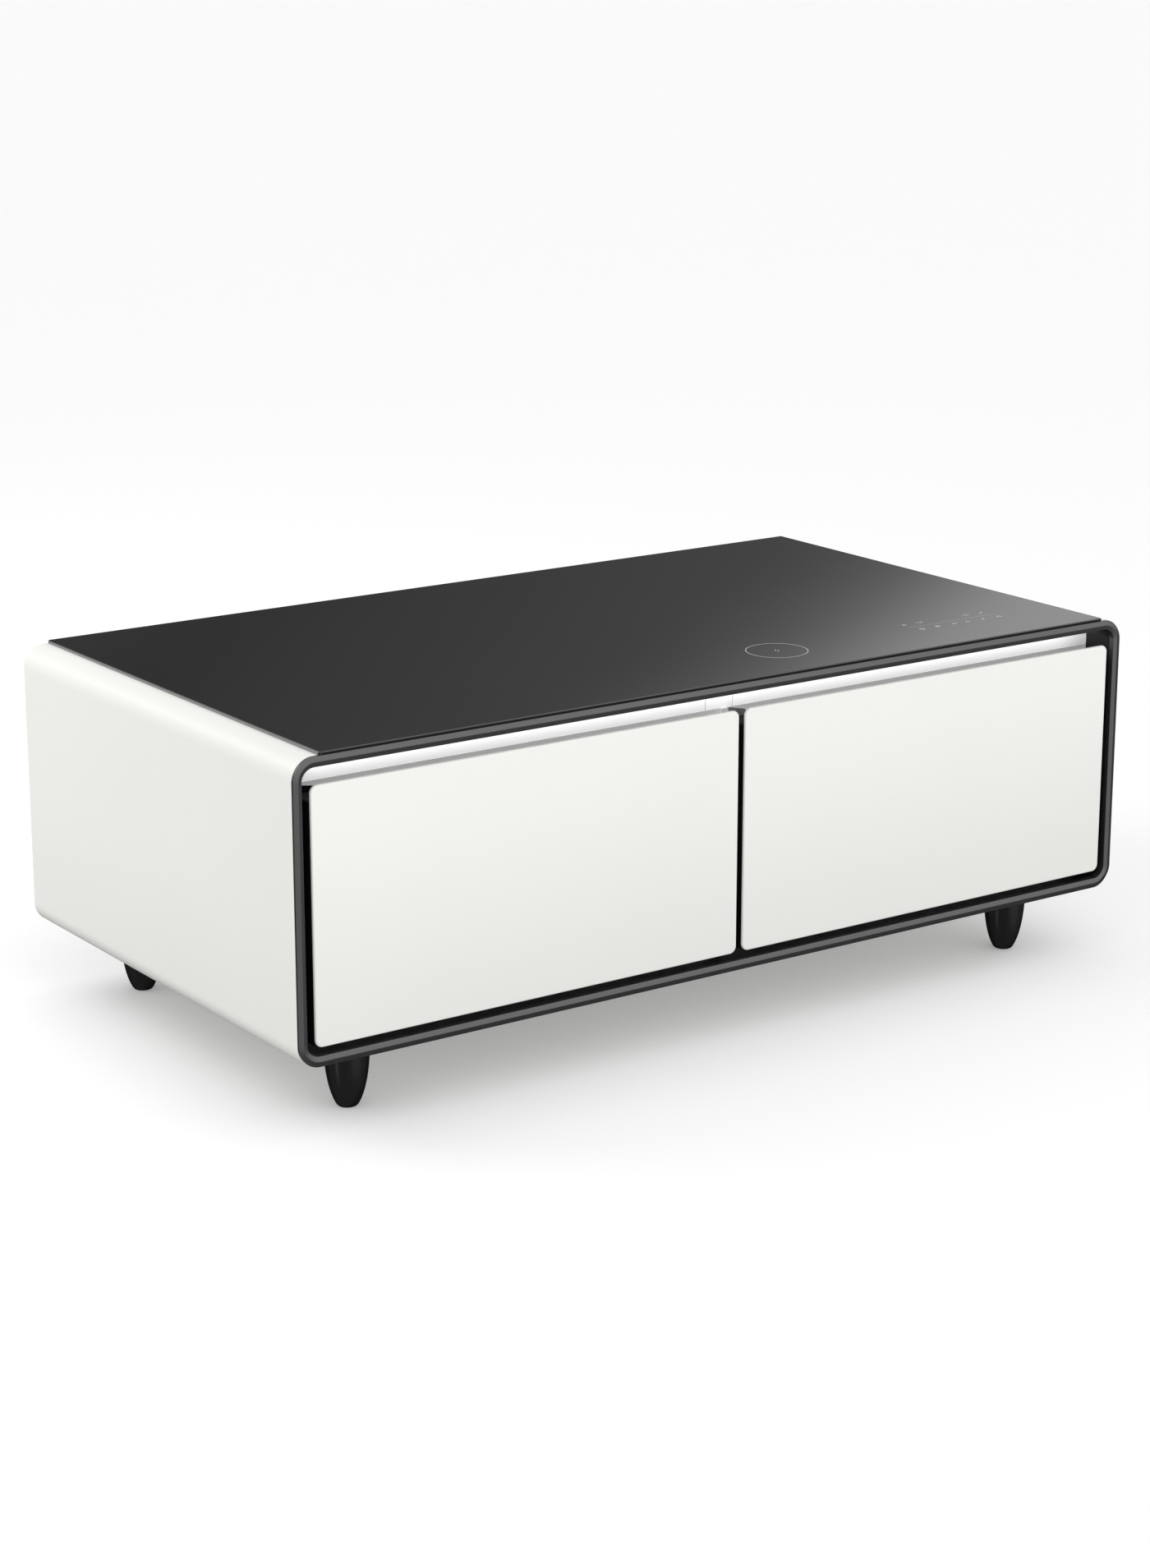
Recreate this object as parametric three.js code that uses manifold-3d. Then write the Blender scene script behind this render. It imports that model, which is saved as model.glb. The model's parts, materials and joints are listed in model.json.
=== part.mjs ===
// Refrigerator coffee table: a rounded steel cabinet on four short legs, with a glass top and
// two cooled drawers on telescopic runners. Millimetres. +X runs to the right along the front,
// -Y points out of the front, +Z is up, and the origin is on the floor under the table's middle.

import * as THREE from 'three';
import { mergeVertices } from 'three/addons/utils/BufferGeometryUtils.js';
import Module from 'manifold-3d';

const wasm = await Module();
wasm.setup();

// Overall sizes
const tableWidth = 1300;
const tableDepth = 700;
const tableHeight = 476;
const cornerRadius = 35.5;
const seatGap = 0.3;
const cutOverrun = 1;
const weldTolerance = 1e-4;

// Rounding, in faces
const cornerSteps = 8;
const smallCornerSteps = 4;
const edgeSteps = 3;
const roundSteps = 24;
const boltSteps = 12;

// Legs and the plates that hold them
const legHeight = 93.7;
const legTopRadius = 29.5;
const legCrownRise = 2.3;
const legFootReach = 8;
const legFootRound = 2;
const legSideInset = 115;
const legRings = 8;
const legSteps = 18;
const studRadius = 4;
const studLength = 7;
const legPlateSize = 56;
const legPlateThickness = 2.5;
const legPlateBezelGap = 2;
const boltClearance = 0.5;

// Glass top
const glassThickness = 4;
const glassFrontSetback = 0.7;
const glassRearSetback = 0.6;
const glassCornerRadius = 3;
const glassEdgeChamfer = 0.6;

// Outer shell
const shellWall = 2.5;
const shellEdgeRadius = 1.8;
const shadowGap = 0.8;
const windowSideMargin = 90;

// Front trim, with a ridge along its middle
const trimFaceWidth = 12.1;
const trimOuterInset = 0.5;
const trimRidgeInset = 6.3;
const trimOuterDrop = 1.75;
const trimInnerDrop = 1.48;
const trimEdgeDepth = 1.75;
const trimDepth = 9;

// Finger recess above the drawers
const recessDepth = 54;
const stripHeight = 32.7;
const stripCoveDepth = 10;
const stripCoveSteps = 6;
const centreStripWidth = 41;

// Drawer fronts
const panelSetback = 2.7;
const panelThickness = 4;
const panelEdgeRadius = 2.5;
const panelCornerRadius = 11;
const panelSideGap = 9.6;
const panelCentreGap = 9;
const panelBottomGap = 11.5;
const panelTopGap = 22.5;
const coreInset = 0.8;
const coreTopDrop = 21.3;
const coreCornerRadius = 9;
const gasketThickness = 6.4;
const gasketWidth = 12;
const gasketInset = 3;
const gasketCornerRadius = 14;
const gasketGrooveWidth = 4;
const gasketGrooveDepth = 1.5;

// Cooled compartments
const linerWall = 2;
const linerSideMargin = 44;
const linerFloorMargin = 44;
const linerGasketGap = 0.8;
const mullionWidth = 44;
const rearInsulation = 38;

// Drawer bins
const binFloorGap = 8;
const binTopGap = 8;
const binRearGap = 5;
const binWall = 3;
const binCornerRadius = 18;
const binRimWidth = 5;
const binRimHeight = 4;

// Telescopic runners
const runnerWidth = 12.7;
const runnerHeight = 45;
const runnerRise = 92;
const runnerFrontGap = 5;
const runnerRearGap = 6;
const runnerSheet = 1.5;
const runnerFlange = 9;
const runnerLip = 2;
const outerBallSpace = 6;
const innerBallSpace = 6.5;
const middleSetback = 3.3;
const middleRimGap = 0.2;
const innerTipGap = 1.2;
const cageLength = 100;
const cageEndGap = 4;

// Air covers, evaporators and their fans
const airCoverDepth = 50;
const airCoverWidth = 400;
const airCoverEdgeGap = 12;
const airCoverWall = 2;
const airFanSideGap = 45;
const airFanRise = 20;
const airFanBore = 45;
const airFanHubRadius = 14;
const airFanHubLength = 14;
const airFanBlades = 5;
const airFanStruts = 3;
const airSlotWidth = 150;
const airSlotHeight = 6;
const airSlotPitch = 14;
const airSlotCount = 6;
const airSlotSideGap = 45;
const evaporatorEndGap = 36;
const evaporatorDepth = 36;
const evaporatorSideGap = 14;
const evaporatorFanGap = 51;
const evaporatorFins = 11;

// Fans in general
const spindleRadius = 3;
const spindleClearance = 0.4;
const fanTipGap = 3;
const fanBladeThickness = 1.6;
const fanStrutWidth = 5;
const fanStrutDepth = 3;
const hubCapThickness = 3.5;
const bladeRootSink = 1.5;
const bladeSteps = 3;
const bladeRootPitch = THREE.MathUtils.degToRad(48);
const bladeTipPitch = THREE.MathUtils.degToRad(24);

// Deck under the glass
const deckFlangeLap = 10;
const deckBezelGap = 4;
const deckFlangeThickness = 3;
const deckRibHeight = 14;
const deckCrossRibRise = 2;
const deckRibThickness = 2.5;
const deckRibsAcross = 6;
const deckRibsAlong = 4;
const deckRibEdgeInset = 12;
const touchBoardWidth = 172;
const touchBoardDepth = 50;
const touchBoardThickness = 1.6;
const touchBoardEndGap = 38;
const touchBoardFrontGap = 10;
const coilToBoard = 302;
const coilFrontGap = 9;
const coilRadius = 25;
const coilBoreRadius = 9;
const coilThickness = 3.9;
const coilCupWall = 3;
const coilCupDepth = 9;
const coilTurns = 3;
const coilTurnDepth = 0.6;

// Rear panel with louvres
const rearPanelRecess = 4;
const rearPanelThickness = 2;
const louvreWidth = 110;
const louvreSlotHeight = 6;
const louvrePitch = 19;
const louvreRows = 7;
const louvreColumnPitch = 126;
const louvreHoodReach = 3.4;
const louvreHoodWall = 1.2;
const louvreHoodDrop = 7;
const louvreFieldRise = 60;
const louvreColumns = 2;
const leftLouvreEndInset = 320;
const rightLouvreFanOffset = 90;

// Mains inlet
const inletEndInset = 130;
const inletRise = 60;
const inletFlangeWidth = 50;
const inletFlangeHeight = 26;
const inletFlangeThickness = 2.4;
const inletBodyWidth = 30;
const inletBodyHeight = 22;
const inletBodyDepth = 22;
const inletWall = 2.4;
const inletSocketDepth = 16;
const inletPinWidth = 2;
const inletPinHeight = 4;
const inletPinLength = 13;
const inletPinPitch = 7;
const inletPinOffset = 2;
const inletEarthOffset = 2;

// Machine compartment
const machineRoomDepth = 173.7;
const trayEndGap = 77.5;
const trayFrontGap = 6;
const trayRearGap = 5;
const trayThickness = 1.5;
const trayLipHeight = 12;
const compressorX = -120;
const compressorRadius = 60;
const compressorStretchShare = 1.15;
const compressorCanHeight = 128;
const compressorDomeHeight = 38;
const compressorSeamWidth = 3;
const compressorSeamHeight = 5;
const compressorDomeSteps = 4;
const compressorBaseWidth = 190;
const compressorBaseDepth = 120;
const compressorBaseThickness = 3;
const grommetRadius = 10;
const grommetHeight = 14;
const grommetInset = 14;
const stubRadius = 4;
const stubLength = 14;
const stubSpacing = 60;
const condenserFanX = 60;
const condenserFanSize = 120;
const condenserFanDepth = 25;
const condenserFanRim = 3;
const condenserFanHubRadius = 18;
const condenserFanHubLength = 16;
const condenserFanBlades = 7;
const condenserFanStruts = 4;
const condenserFanHoleInset = 7.5;
const condenserFanHoleRadius = 2.2;
const condenserDepth = 40;
const condenserFins = 13;
const finThickness = 1.2;
const finCoreThickness = 4;
const pipeRadius = 3;
const pipeSteps = 26;
const pipeSides = 8;
const suctionEntryX = -40;
const suctionEntryRise = 250;
const pipeLead = 22;
const dischargeRise = 26;
const controlBoxEndGap = 182;
const controlBoxWidth = 180;
const controlBoxDepth = 120;
const controlBoxHeight = 90;
const controlLidOverhang = 3;
const controlLidThickness = 8;

// Places worked out from the sizes above
const halfWidth = tableWidth / 2;
const frontY = -tableDepth / 2;
const rearY = tableDepth / 2;
const bodyBottomZ = legHeight + seatGap;
const bodyTopZ = tableHeight - glassThickness - seatGap;
const openingHalfWidth = halfWidth - trimFaceWidth;
const openingBottomZ = bodyBottomZ + trimFaceWidth;
const openingTopZ = bodyTopZ - trimFaceWidth;
const trimEdgeY = frontY + trimOuterDrop + trimEdgeDepth;
const shellFrontY = trimEdgeY + shadowGap;
const trimBackY = frontY + trimDepth;
const insideShell = shellWall + seatGap;
const recessBackY = frontY + recessDepth;
const flangeBackY = recessBackY + linerWall;
const stripTopZ = openingTopZ - seatGap;
const stripBottomZ = stripTopZ - stripHeight;
const panelFrontY = frontY + panelSetback;
const panelBackY = panelFrontY + panelThickness;
const panelOuterX = openingHalfWidth - panelSideGap;
const panelInnerX = panelCentreGap / 2;
const panelBottomZ = openingBottomZ + panelBottomGap;
const panelTopZ = openingTopZ - panelTopGap;
const gasketBackY = recessBackY - seatGap;
const gasketFrontY = gasketBackY - gasketThickness;
const coreFrontY = panelBackY + seatGap;
const coreBackY = gasketFrontY - seatGap;
const coreTopZ = panelTopZ - coreTopDrop;
const roomOuterX = halfWidth - linerSideMargin;
const roomInnerX = mullionWidth / 2;
const roomBottomZ = bodyBottomZ + linerFloorMargin;
const roomTopZ = coreTopZ - gasketInset - gasketWidth - linerGasketGap;
const roomMiddleX = (roomOuterX + roomInnerX) / 2;
const rearPanelOuterY = rearY - rearPanelRecess;
const rearPanelInnerY = rearPanelOuterY - rearPanelThickness;
const foamRearY = rearPanelInnerY - machineRoomDepth;
const linerRearY = foamRearY - rearInsulation - seatGap;
const roomRearY = linerRearY - linerWall;
const airCoverFrontY = roomRearY - airCoverDepth;
const airFanOffset = airCoverWidth / 2 - airFanSideGap - airFanBore;
const airSlotOffset = airSlotSideGap + (airSlotWidth - airCoverWidth) / 2;
const evaporatorRight = airFanOffset - airFanBore - evaporatorFanGap;
const evaporatorLeft = evaporatorSideGap - airCoverWidth / 2;
const binSideGap = runnerWidth + 2 * seatGap;
const binRearY = airCoverFrontY - binRearGap;
const runnerFrontY = recessBackY + runnerFrontGap;
const runnerRearY = airCoverFrontY - runnerRearGap;
const runnerZ = roomBottomZ + runnerRise;
const middleHeight = runnerHeight - 2 * outerBallSpace;
const middleRim = runnerWidth - runnerSheet - middleRimGap;
const innerHeight = middleHeight - 2 * innerBallSpace;
const innerTip = middleSetback + runnerSheet + innerTipGap;
const deckFlangeTopZ = bodyTopZ - shellWall - seatGap;
const deckFlangeBottomZ = deckFlangeTopZ - deckFlangeThickness;
const deckBottomZ = deckFlangeBottomZ - deckRibHeight;
const glassHalfX = halfWidth - cornerRadius;
const glassFrontY = frontY + glassFrontSetback;
const windowHalfX = halfWidth - windowSideMargin;
const windowHalfY = -(flangeBackY + deckBezelGap + deckFlangeLap);
const touchBoardX = windowHalfX - touchBoardEndGap - touchBoardWidth / 2;
const touchBoardY = touchBoardFrontGap + touchBoardDepth / 2 - windowHalfY;
const touchPocketDepth = touchBoardThickness + 2 * seatGap;
const coilX = touchBoardX - coilToBoard;
const coilY = coilFrontGap + coilRadius - windowHalfY;
const coilPocketDepth = coilThickness + 2 * seatGap;
const shellFloorZ = bodyBottomZ + shellWall;
const legPlateBottomZ = shellFloorZ + seatGap;
const legPlateTopZ = legPlateBottomZ + legPlateThickness;
const legX = halfWidth - legSideInset;
const legBulge = legHeight + legCrownRise + legFootReach;
const legY = -(flangeBackY + legPlateBezelGap + legPlateSize / 2);
const trayBottomZ = legHeight + studLength + seatGap;
const trayTopZ = trayBottomZ + trayThickness;
const machineSeatZ = trayTopZ + seatGap;
const trayFrontY = foamRearY + trayFrontGap;
const trayRearY = rearPanelInnerY - trayRearGap;
const machineMiddleY = (trayFrontY + trayRearY) / 2;
const condenserFanBore = condenserFanSize / 2 - condenserFanRim;
const controlBoxX = halfWidth - controlBoxEndGap - controlBoxWidth / 2;
const inletX = halfWidth - inletEndInset;
const leftLouvreX = leftLouvreEndInset - halfWidth;
const rightLouvreX = condenserFanX + rightLouvreFanOffset;

// Colours and finishes
const finishes = {
  whiteSteel: { color: 0xe9eae5, roughness: 0.35, metalness: 0 },
  whitePlastic: { color: 0xf4f4f2, roughness: 0.3, metalness: 0 },
  whiteFront: { color: 0xefefec, roughness: 0.25, metalness: 0 },
  blackTrim: { color: 0x2c2e30, roughness: 0.38, metalness: 0 },
  blackPlastic: { color: 0x0e0f10, roughness: 0.5, metalness: 0 },
  darkGlass: { color: 0x1b1c1d, roughness: 0.12, metalness: 0 },
  greyRubber: { color: 0x3a3b3d, roughness: 0.8, metalness: 0 },
  foam: { color: 0xe6d9a8, roughness: 0.9, metalness: 0 },
  zincSteel: { color: 0xb9bcbf, roughness: 0.35, metalness: 1 },
  blackSteel: { color: 0x191a1b, roughness: 0.45, metalness: 0.6 },
  aluminium: { color: 0xc9cccf, roughness: 0.4, metalness: 1 },
  copper: { color: 0xc07a52, roughness: 0.3, metalness: 1 },
  circuitGreen: { color: 0x1d5a38, roughness: 0.6, metalness: 0 },
  binPlastic: { color: 0xdfe4e6, roughness: 0.25, metalness: 0 },
};

// Solids

function toSolid(geometry) {
  const bare = geometry.clone();
  bare.deleteAttribute('normal');
  bare.deleteAttribute('uv');
  const merged = mergeVertices(bare, weldTolerance);
  const vertProperties = new Float32Array(merged.attributes.position.array);
  const triVerts = new Uint32Array(merged.index.array);
  return new wasm.Manifold(new wasm.Mesh({ numProp: 3, vertProperties, triVerts }));
}

function toGeometry(solid) {
  const mesh = solid.getMesh();
  const geometry = new THREE.BufferGeometry();
  geometry.setAttribute('position', new THREE.BufferAttribute(mesh.vertProperties, 3));
  geometry.setIndex(new THREE.BufferAttribute(mesh.triVerts, 1));
  return geometry;
}

function join(...pieces) {
  return toGeometry(pieces.map(toSolid).reduce((sum, piece) => sum.add(piece)));
}

function cut(base, ...tools) {
  return toGeometry(tools.map(toSolid).reduce((rest, tool) => rest.subtract(tool), toSolid(base)));
}

function common(first, second) {
  return toGeometry(toSolid(first).intersect(toSolid(second)));
}

function box(x0, x1, y0, y1, z0, z1) {
  const geometry = new THREE.BoxGeometry(x1 - x0, y1 - y0, z1 - z0);
  return geometry.translate((x0 + x1) / 2, (y0 + y1) / 2, (z0 + z1) / 2);
}

function rod(radius, x, y, z0, z1, sides) {
  const geometry = new THREE.CylinderGeometry(radius, radius, z1 - z0, sides);
  return geometry.rotateX(Math.PI / 2).translate(x, y, (z0 + z1) / 2);
}

// Points of a rectangle with round corners, anticlockwise, always the same number of them.
function roundedOutline(left, right, bottom, top, radius, steps) {
  const corners = [
    [right - radius, bottom + radius, -Math.PI / 2],
    [right - radius, top - radius, 0],
    [left + radius, top - radius, Math.PI / 2],
    [left + radius, bottom + radius, Math.PI],
  ];
  return corners.flatMap(([centreA, centreB, start]) => Array.from({ length: steps + 1 }, (_, i) => {
    const angle = start + (Math.PI / 2) * (i / steps);
    return [centreA + radius * Math.cos(angle), centreB + radius * Math.sin(angle)];
  }));
}

// The cabinet's outline seen from the front, drawn in by an inset.
function bodyOutline(inset) {
  const left = -halfWidth + inset;
  const bottom = bodyBottomZ + inset;
  return roundedOutline(left, -left, bottom, bodyTopZ - inset, cornerRadius - inset, cornerSteps);
}

// A skin over a stack of loops with equal point counts. It closes on its first loop, or has flat ends.
function skin(loops, endless) {
  const count = loops[0].length;
  const positions = loops.flat(2);
  const faces = [];
  const bands = endless ? loops.length : loops.length - 1;
  for (let i = 0; i < bands; i += 1) {
    const next = (i + 1) % loops.length;
    for (let j = 0; j < count; j += 1) {
      const k = (j + 1) % count;
      const a = i * count + j;
      const b = i * count + k;
      const c = next * count + k;
      const d = next * count + j;
      faces.push(a, b, c, a, c, d);
    }
  }
  if (!endless) {
    const last = (loops.length - 1) * count;
    for (let j = 1; j < count - 1; j += 1) {
      faces.push(0, j + 1, j);
      faces.push(last, last + j, last + j + 1);
    }
  }
  const geometry = new THREE.BufferGeometry();
  geometry.setAttribute('position', new THREE.Float32BufferAttribute(positions, 3));
  geometry.setIndex(signedVolume(positions, faces) < 0 ? faces.toReversed() : faces);
  return geometry;
}

function signedVolume(positions, faces) {
  const corner = (i) => new THREE.Vector3().fromArray(positions, 3 * faces[i]);
  let sum = 0;
  for (let i = 0; i < faces.length; i += 3) {
    sum += corner(i).dot(corner(i + 1).cross(corner(i + 2))) / 6;
  }
  return sum;
}

// A profile of [inset, y] points carried round the cabinet's outline.
function frameRing(profile) {
  const loops = profile.map(([inset, y]) => bodyOutline(inset).map(([x, z]) => [x, y, z]));
  return skin(loops, true);
}

// The cabinet's whole outline at an inset, filled in from one depth to another.
function bodySlab(inset, y0, y1) {
  const loops = [y0, y1].map((y) => bodyOutline(inset).map(([x, z]) => [x, y, z]));
  return skin(loops, false);
}

// A rounded slab standing upright, its edge drawn in by [inset, y] levels.
function uprightSlab(x0, x1, z0, z1, radius, levels) {
  const loops = levels.map(([inset, y]) => {
    const points = roundedOutline(x0 + inset, x1 - inset, z0 + inset, z1 - inset, radius - inset, smallCornerSteps);
    return points.map(([x, z]) => [x, y, z]);
  });
  return skin(loops, false);
}

// A rounded slab lying flat, its edge drawn in by [inset, z] levels.
function flatSlab(x0, x1, y0, y1, radius, levels) {
  const loops = levels.map(([inset, z]) => {
    const points = roundedOutline(x0 + inset, x1 - inset, y0 + inset, y1 - inset, radius - inset, smallCornerSteps);
    return points.map(([x, y]) => [x, y, z]);
  });
  return skin(loops, false);
}

// A profile of [a, b] points drawn in the X-Z plane and run along Y.
function alongY(points, y0, y1) {
  const shape = new THREE.Shape(points.map(([x, z]) => new THREE.Vector2(x, z)));
  const geometry = new THREE.ExtrudeGeometry(shape, { depth: y1 - y0, bevelEnabled: false });
  return geometry.rotateX(Math.PI / 2).translate(0, y1, 0);
}

// A profile of [y, z] points run along X.
function alongX(points, x0, x1) {
  const shape = new THREE.Shape(points.map(([y, z]) => new THREE.Vector2(y, z)));
  const geometry = new THREE.ExtrudeGeometry(shape, { depth: x1 - x0, bevelEnabled: false });
  return geometry.rotateX(Math.PI / 2).rotateZ(Math.PI / 2).translate(x0, 0, 0);
}

// A round pipe along a smooth curve through points.
function pipe(points, radius) {
  const curve = new THREE.CatmullRomCurve3(points.map((point) => new THREE.Vector3(...point)));
  const section = new THREE.Shape();
  section.absarc(0, 0, radius, 0, 2 * Math.PI);
  const options = { steps: pipeSteps, curveSegments: pipeSides / 2, extrudePath: curve, bevelEnabled: false };
  return new THREE.ExtrudeGeometry(section, options);
}

// Points of a rounded edge from a face to a side, as [inset, level].
function roundedEdge(radius, faceLevel, direction) {
  return Array.from({ length: edgeSteps + 1 }, (_, i) => {
    const angle = (Math.PI / 2) * (i / edgeSteps);
    return [radius * (1 - Math.sin(angle)), faceLevel + direction * radius * (1 - Math.cos(angle))];
  });
}

const table = new THREE.Group();

function add(name, finish, geometry) {
  const mesh = new THREE.Mesh(geometry, new THREE.MeshStandardMaterial(finishes[finish]));
  mesh.name = name;
  table.add(mesh);
}

// Shell, trim and glass

function outerShell() {
  const edge = roundedEdge(shellEdgeRadius, shellFrontY, 1);
  const ring = frameRing([...edge, [0, rearY], [shellWall, rearY], [shellWall, shellFrontY]]);
  const windowTop = bodyTopZ + cutOverrun;
  const windowFloor = bodyTopZ - shellWall - cutOverrun;
  const window = box(-windowHalfX, windowHalfX, -windowHalfY, windowHalfY, windowFloor, windowTop);
  const boltHoles = legPlaces().map(([x, y]) => {
    const radius = studRadius + boltClearance;
    return rod(radius, x, y, bodyBottomZ - cutOverrun, shellFloorZ + cutOverrun, boltSteps);
  });
  return cut(ring, window, ...boltHoles);
}

function frontTrim() {
  return frameRing([
    [trimOuterInset, trimEdgeY],
    [trimOuterInset, frontY + trimOuterDrop],
    [trimRidgeInset, frontY],
    [trimFaceWidth, frontY + trimInnerDrop],
    [trimFaceWidth, trimBackY],
    [insideShell, trimBackY],
    [insideShell, trimEdgeY],
  ]);
}

function frontBezel() {
  return frameRing([
    [insideShell, trimBackY + seatGap],
    [trimFaceWidth, trimBackY + seatGap],
    [trimFaceWidth, flangeBackY],
    [insideShell, flangeBackY],
  ]);
}

function glassTop() {
  const bottom = tableHeight - glassThickness;
  const levels = [
    [0, bottom],
    [0, tableHeight - glassEdgeChamfer],
    [glassEdgeChamfer, tableHeight],
  ];
  const rear = rearY - glassRearSetback;
  return flatSlab(-glassHalfX, glassHalfX, glassFrontY, rear, glassCornerRadius, levels);
}

// White strip at the back of the finger recess, coved forward to the ceiling
function recessStrip(x0, x1) {
  const cove = Array.from({ length: stripCoveSteps + 1 }, (_, i) => {
    const angle = (Math.PI / 2) * (i / stripCoveSteps);
    return [
      recessBackY - stripCoveDepth * (1 - Math.cos(angle)),
      stripBottomZ + stripHeight * Math.sin(angle),
    ];
  });
  const strip = alongX([...cove, [flangeBackY, stripTopZ], [flangeBackY, stripBottomZ]], x0, x1);
  return common(strip, bodySlab(trimFaceWidth + seatGap, trimBackY, foamRearY));
}

// Deck under the glass, with pockets for the touch board and the charging coil
function topDeck() {
  const plateauX = windowHalfX - seatGap;
  const plateauY = windowHalfY - seatGap;
  const flangeX = windowHalfX + deckFlangeLap;
  const flangeY = windowHalfY + deckFlangeLap;
  const ribX = windowHalfX - deckRibEdgeInset;
  const ribY = windowHalfY - deckRibEdgeInset;
  const half = deckRibThickness / 2;
  const ribs = [];
  for (let i = 0; i < deckRibsAcross; i += 1) {
    const x = -ribX + half + (2 * ribX - deckRibThickness) * (i / (deckRibsAcross - 1));
    ribs.push(box(x - half, x + half, -ribY, ribY, deckBottomZ, deckFlangeTopZ));
  }
  const crossY = ribY - 2 * deckRibThickness;
  for (let i = 0; i < deckRibsAlong; i += 1) {
    const y = -crossY + 2 * crossY * (i / (deckRibsAlong - 1));
    const bottom = deckBottomZ + deckCrossRibRise;
    ribs.push(box(half - ribX, ribX - half, y - half, y + half, bottom, deckFlangeTopZ));
  }
  const cupFloor = bodyTopZ - coilCupDepth;
  const cup = rod(coilRadius + seatGap + coilCupWall, coilX, coilY, cupFloor, deckFlangeTopZ, roundSteps);
  const body = join(
    box(-plateauX, plateauX, -plateauY, plateauY, deckFlangeBottomZ, bodyTopZ),
    box(-flangeX, flangeX, -flangeY, flangeY, deckFlangeBottomZ, deckFlangeTopZ),
    cup,
    ...ribs,
  );
  const above = bodyTopZ + cutOverrun;
  const boardX = touchBoardWidth / 2 + seatGap;
  const boardY = touchBoardDepth / 2 + seatGap;
  const boardPocket = box(
    touchBoardX - boardX,
    touchBoardX + boardX,
    touchBoardY - boardY,
    touchBoardY + boardY,
    bodyTopZ - touchPocketDepth,
    above,
  );
  const pocketRadius = (coilRadius + seatGap) / Math.cos(Math.PI / roundSteps);
  const coilPocket = rod(pocketRadius, coilX, coilY, bodyTopZ - coilPocketDepth, above, roundSteps);
  return cut(body, boardPocket, coilPocket);
}

function touchBoard() {
  const bottom = bodyTopZ - touchPocketDepth + seatGap;
  const halfX = touchBoardWidth / 2;
  const halfY = touchBoardDepth / 2;
  const top = bottom + touchBoardThickness;
  return box(touchBoardX - halfX, touchBoardX + halfX, touchBoardY - halfY, touchBoardY + halfY, bottom, top);
}

// Charging coil: a flat ring with its turns raised on top
function chargingCoil() {
  const bottom = bodyTopZ - coilPocketDepth + seatGap;
  const top = bottom + coilThickness;
  const turnWidth = (coilRadius - coilBoreRadius) / coilTurns;
  const profile = [[coilBoreRadius, bottom], [coilRadius, bottom]];
  for (let i = 0; i < coilTurns; i += 1) {
    const outer = coilRadius - turnWidth * i;
    profile.push([outer, top - coilTurnDepth], [outer - turnWidth / 2, top]);
  }
  profile.push([coilBoreRadius, top - coilTurnDepth], [coilBoreRadius, bottom]);
  const points = profile.map(([radius, z]) => new THREE.Vector2(radius, z));
  return new THREE.LatheGeometry(points, roundSteps).rotateX(Math.PI / 2).translate(coilX, coilY, 0);
}

// Cooled compartments

// Liner: a tub open at the front, with a flange that fills its half of the opening.
function liner(side) {
  const inner = side > 0 ? roomInnerX : -roomOuterX;
  const outer = side > 0 ? roomOuterX : -roomInnerX;
  const halfLeft = side > 0 ? seatGap / 2 : -halfWidth;
  const halfRight = side > 0 ? halfWidth : -seatGap / 2;
  const flangeTop = stripBottomZ - seatGap;
  const half = box(halfLeft, halfRight, recessBackY, flangeBackY, bodyBottomZ, flangeTop);
  const flange = common(bodySlab(trimFaceWidth + seatGap, recessBackY, flangeBackY), half);
  const tub = box(
    inner - linerWall,
    outer + linerWall,
    recessBackY,
    linerRearY,
    roomBottomZ - linerWall,
    roomTopZ + linerWall,
  );
  const room = box(inner, outer, recessBackY - cutOverrun, roomRearY, roomBottomZ, roomTopZ);
  return cut(join(flange, tub), room);
}

// Foam that fills the space between the shell and the liners
function insulationFoam() {
  const block = bodySlab(insideShell, flangeBackY + seatGap, foamRearY);
  const deckX = windowHalfX + deckFlangeLap + seatGap;
  const deckSpace = box(-deckX, deckX, frontY, rearY, deckBottomZ - seatGap, bodyTopZ);
  const around = linerWall + seatGap;
  const tubs = [-1, 1].map((side) => box(
    Math.min(side * roomInnerX, side * roomOuterX) - around,
    Math.max(side * roomInnerX, side * roomOuterX) + around,
    frontY,
    linerRearY + seatGap,
    roomBottomZ - around,
    roomTopZ + around,
  ));
  const plateSpace = legPlateSize / 2 + seatGap;
  const pockets = legPlaces().filter(([, y]) => y < 0).map(([x, y]) => box(
    x - plateSpace,
    x + plateSpace,
    y - plateSpace,
    y + plateSpace,
    bodyBottomZ,
    trayBottomZ,
  ));
  return cut(block, deckSpace, ...tubs, ...pockets);
}

function finBlock(width, height, depth, fins) {
  const pitch = (width - finThickness) / (fins - 1);
  const core = finCoreThickness / 2;
  const near = [];
  const far = [];
  for (let i = 0; i < fins; i += 1) {
    const left = -width / 2 + pitch * i;
    const right = left + finThickness;
    near.push([left, -core], [left, -depth / 2], [right, -depth / 2], [right, -core]);
    far.unshift([right, core], [right, depth / 2], [left, depth / 2], [left, core]);
  }
  const outline = [...near, ...far].map(([a, b]) => new THREE.Vector2(a, b));
  return new THREE.ExtrudeGeometry(new THREE.Shape(outline), { depth: height, bevelEnabled: false });
}

function evaporator(side) {
  const middle = side * roomMiddleX + (evaporatorLeft + evaporatorRight) / 2;
  const width = evaporatorRight - evaporatorLeft;
  const bottom = roomBottomZ + evaporatorEndGap;
  const height = roomTopZ - evaporatorEndGap - bottom;
  const rear = roomRearY - seatGap;
  const fins = finBlock(width, height, evaporatorDepth, evaporatorFins);
  return fins.translate(middle, rear - evaporatorDepth / 2, bottom);
}

function airFanPlace(side) {
  return [side * roomMiddleX + airFanOffset, (roomBottomZ + roomTopZ) / 2 + airFanRise];
}

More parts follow.
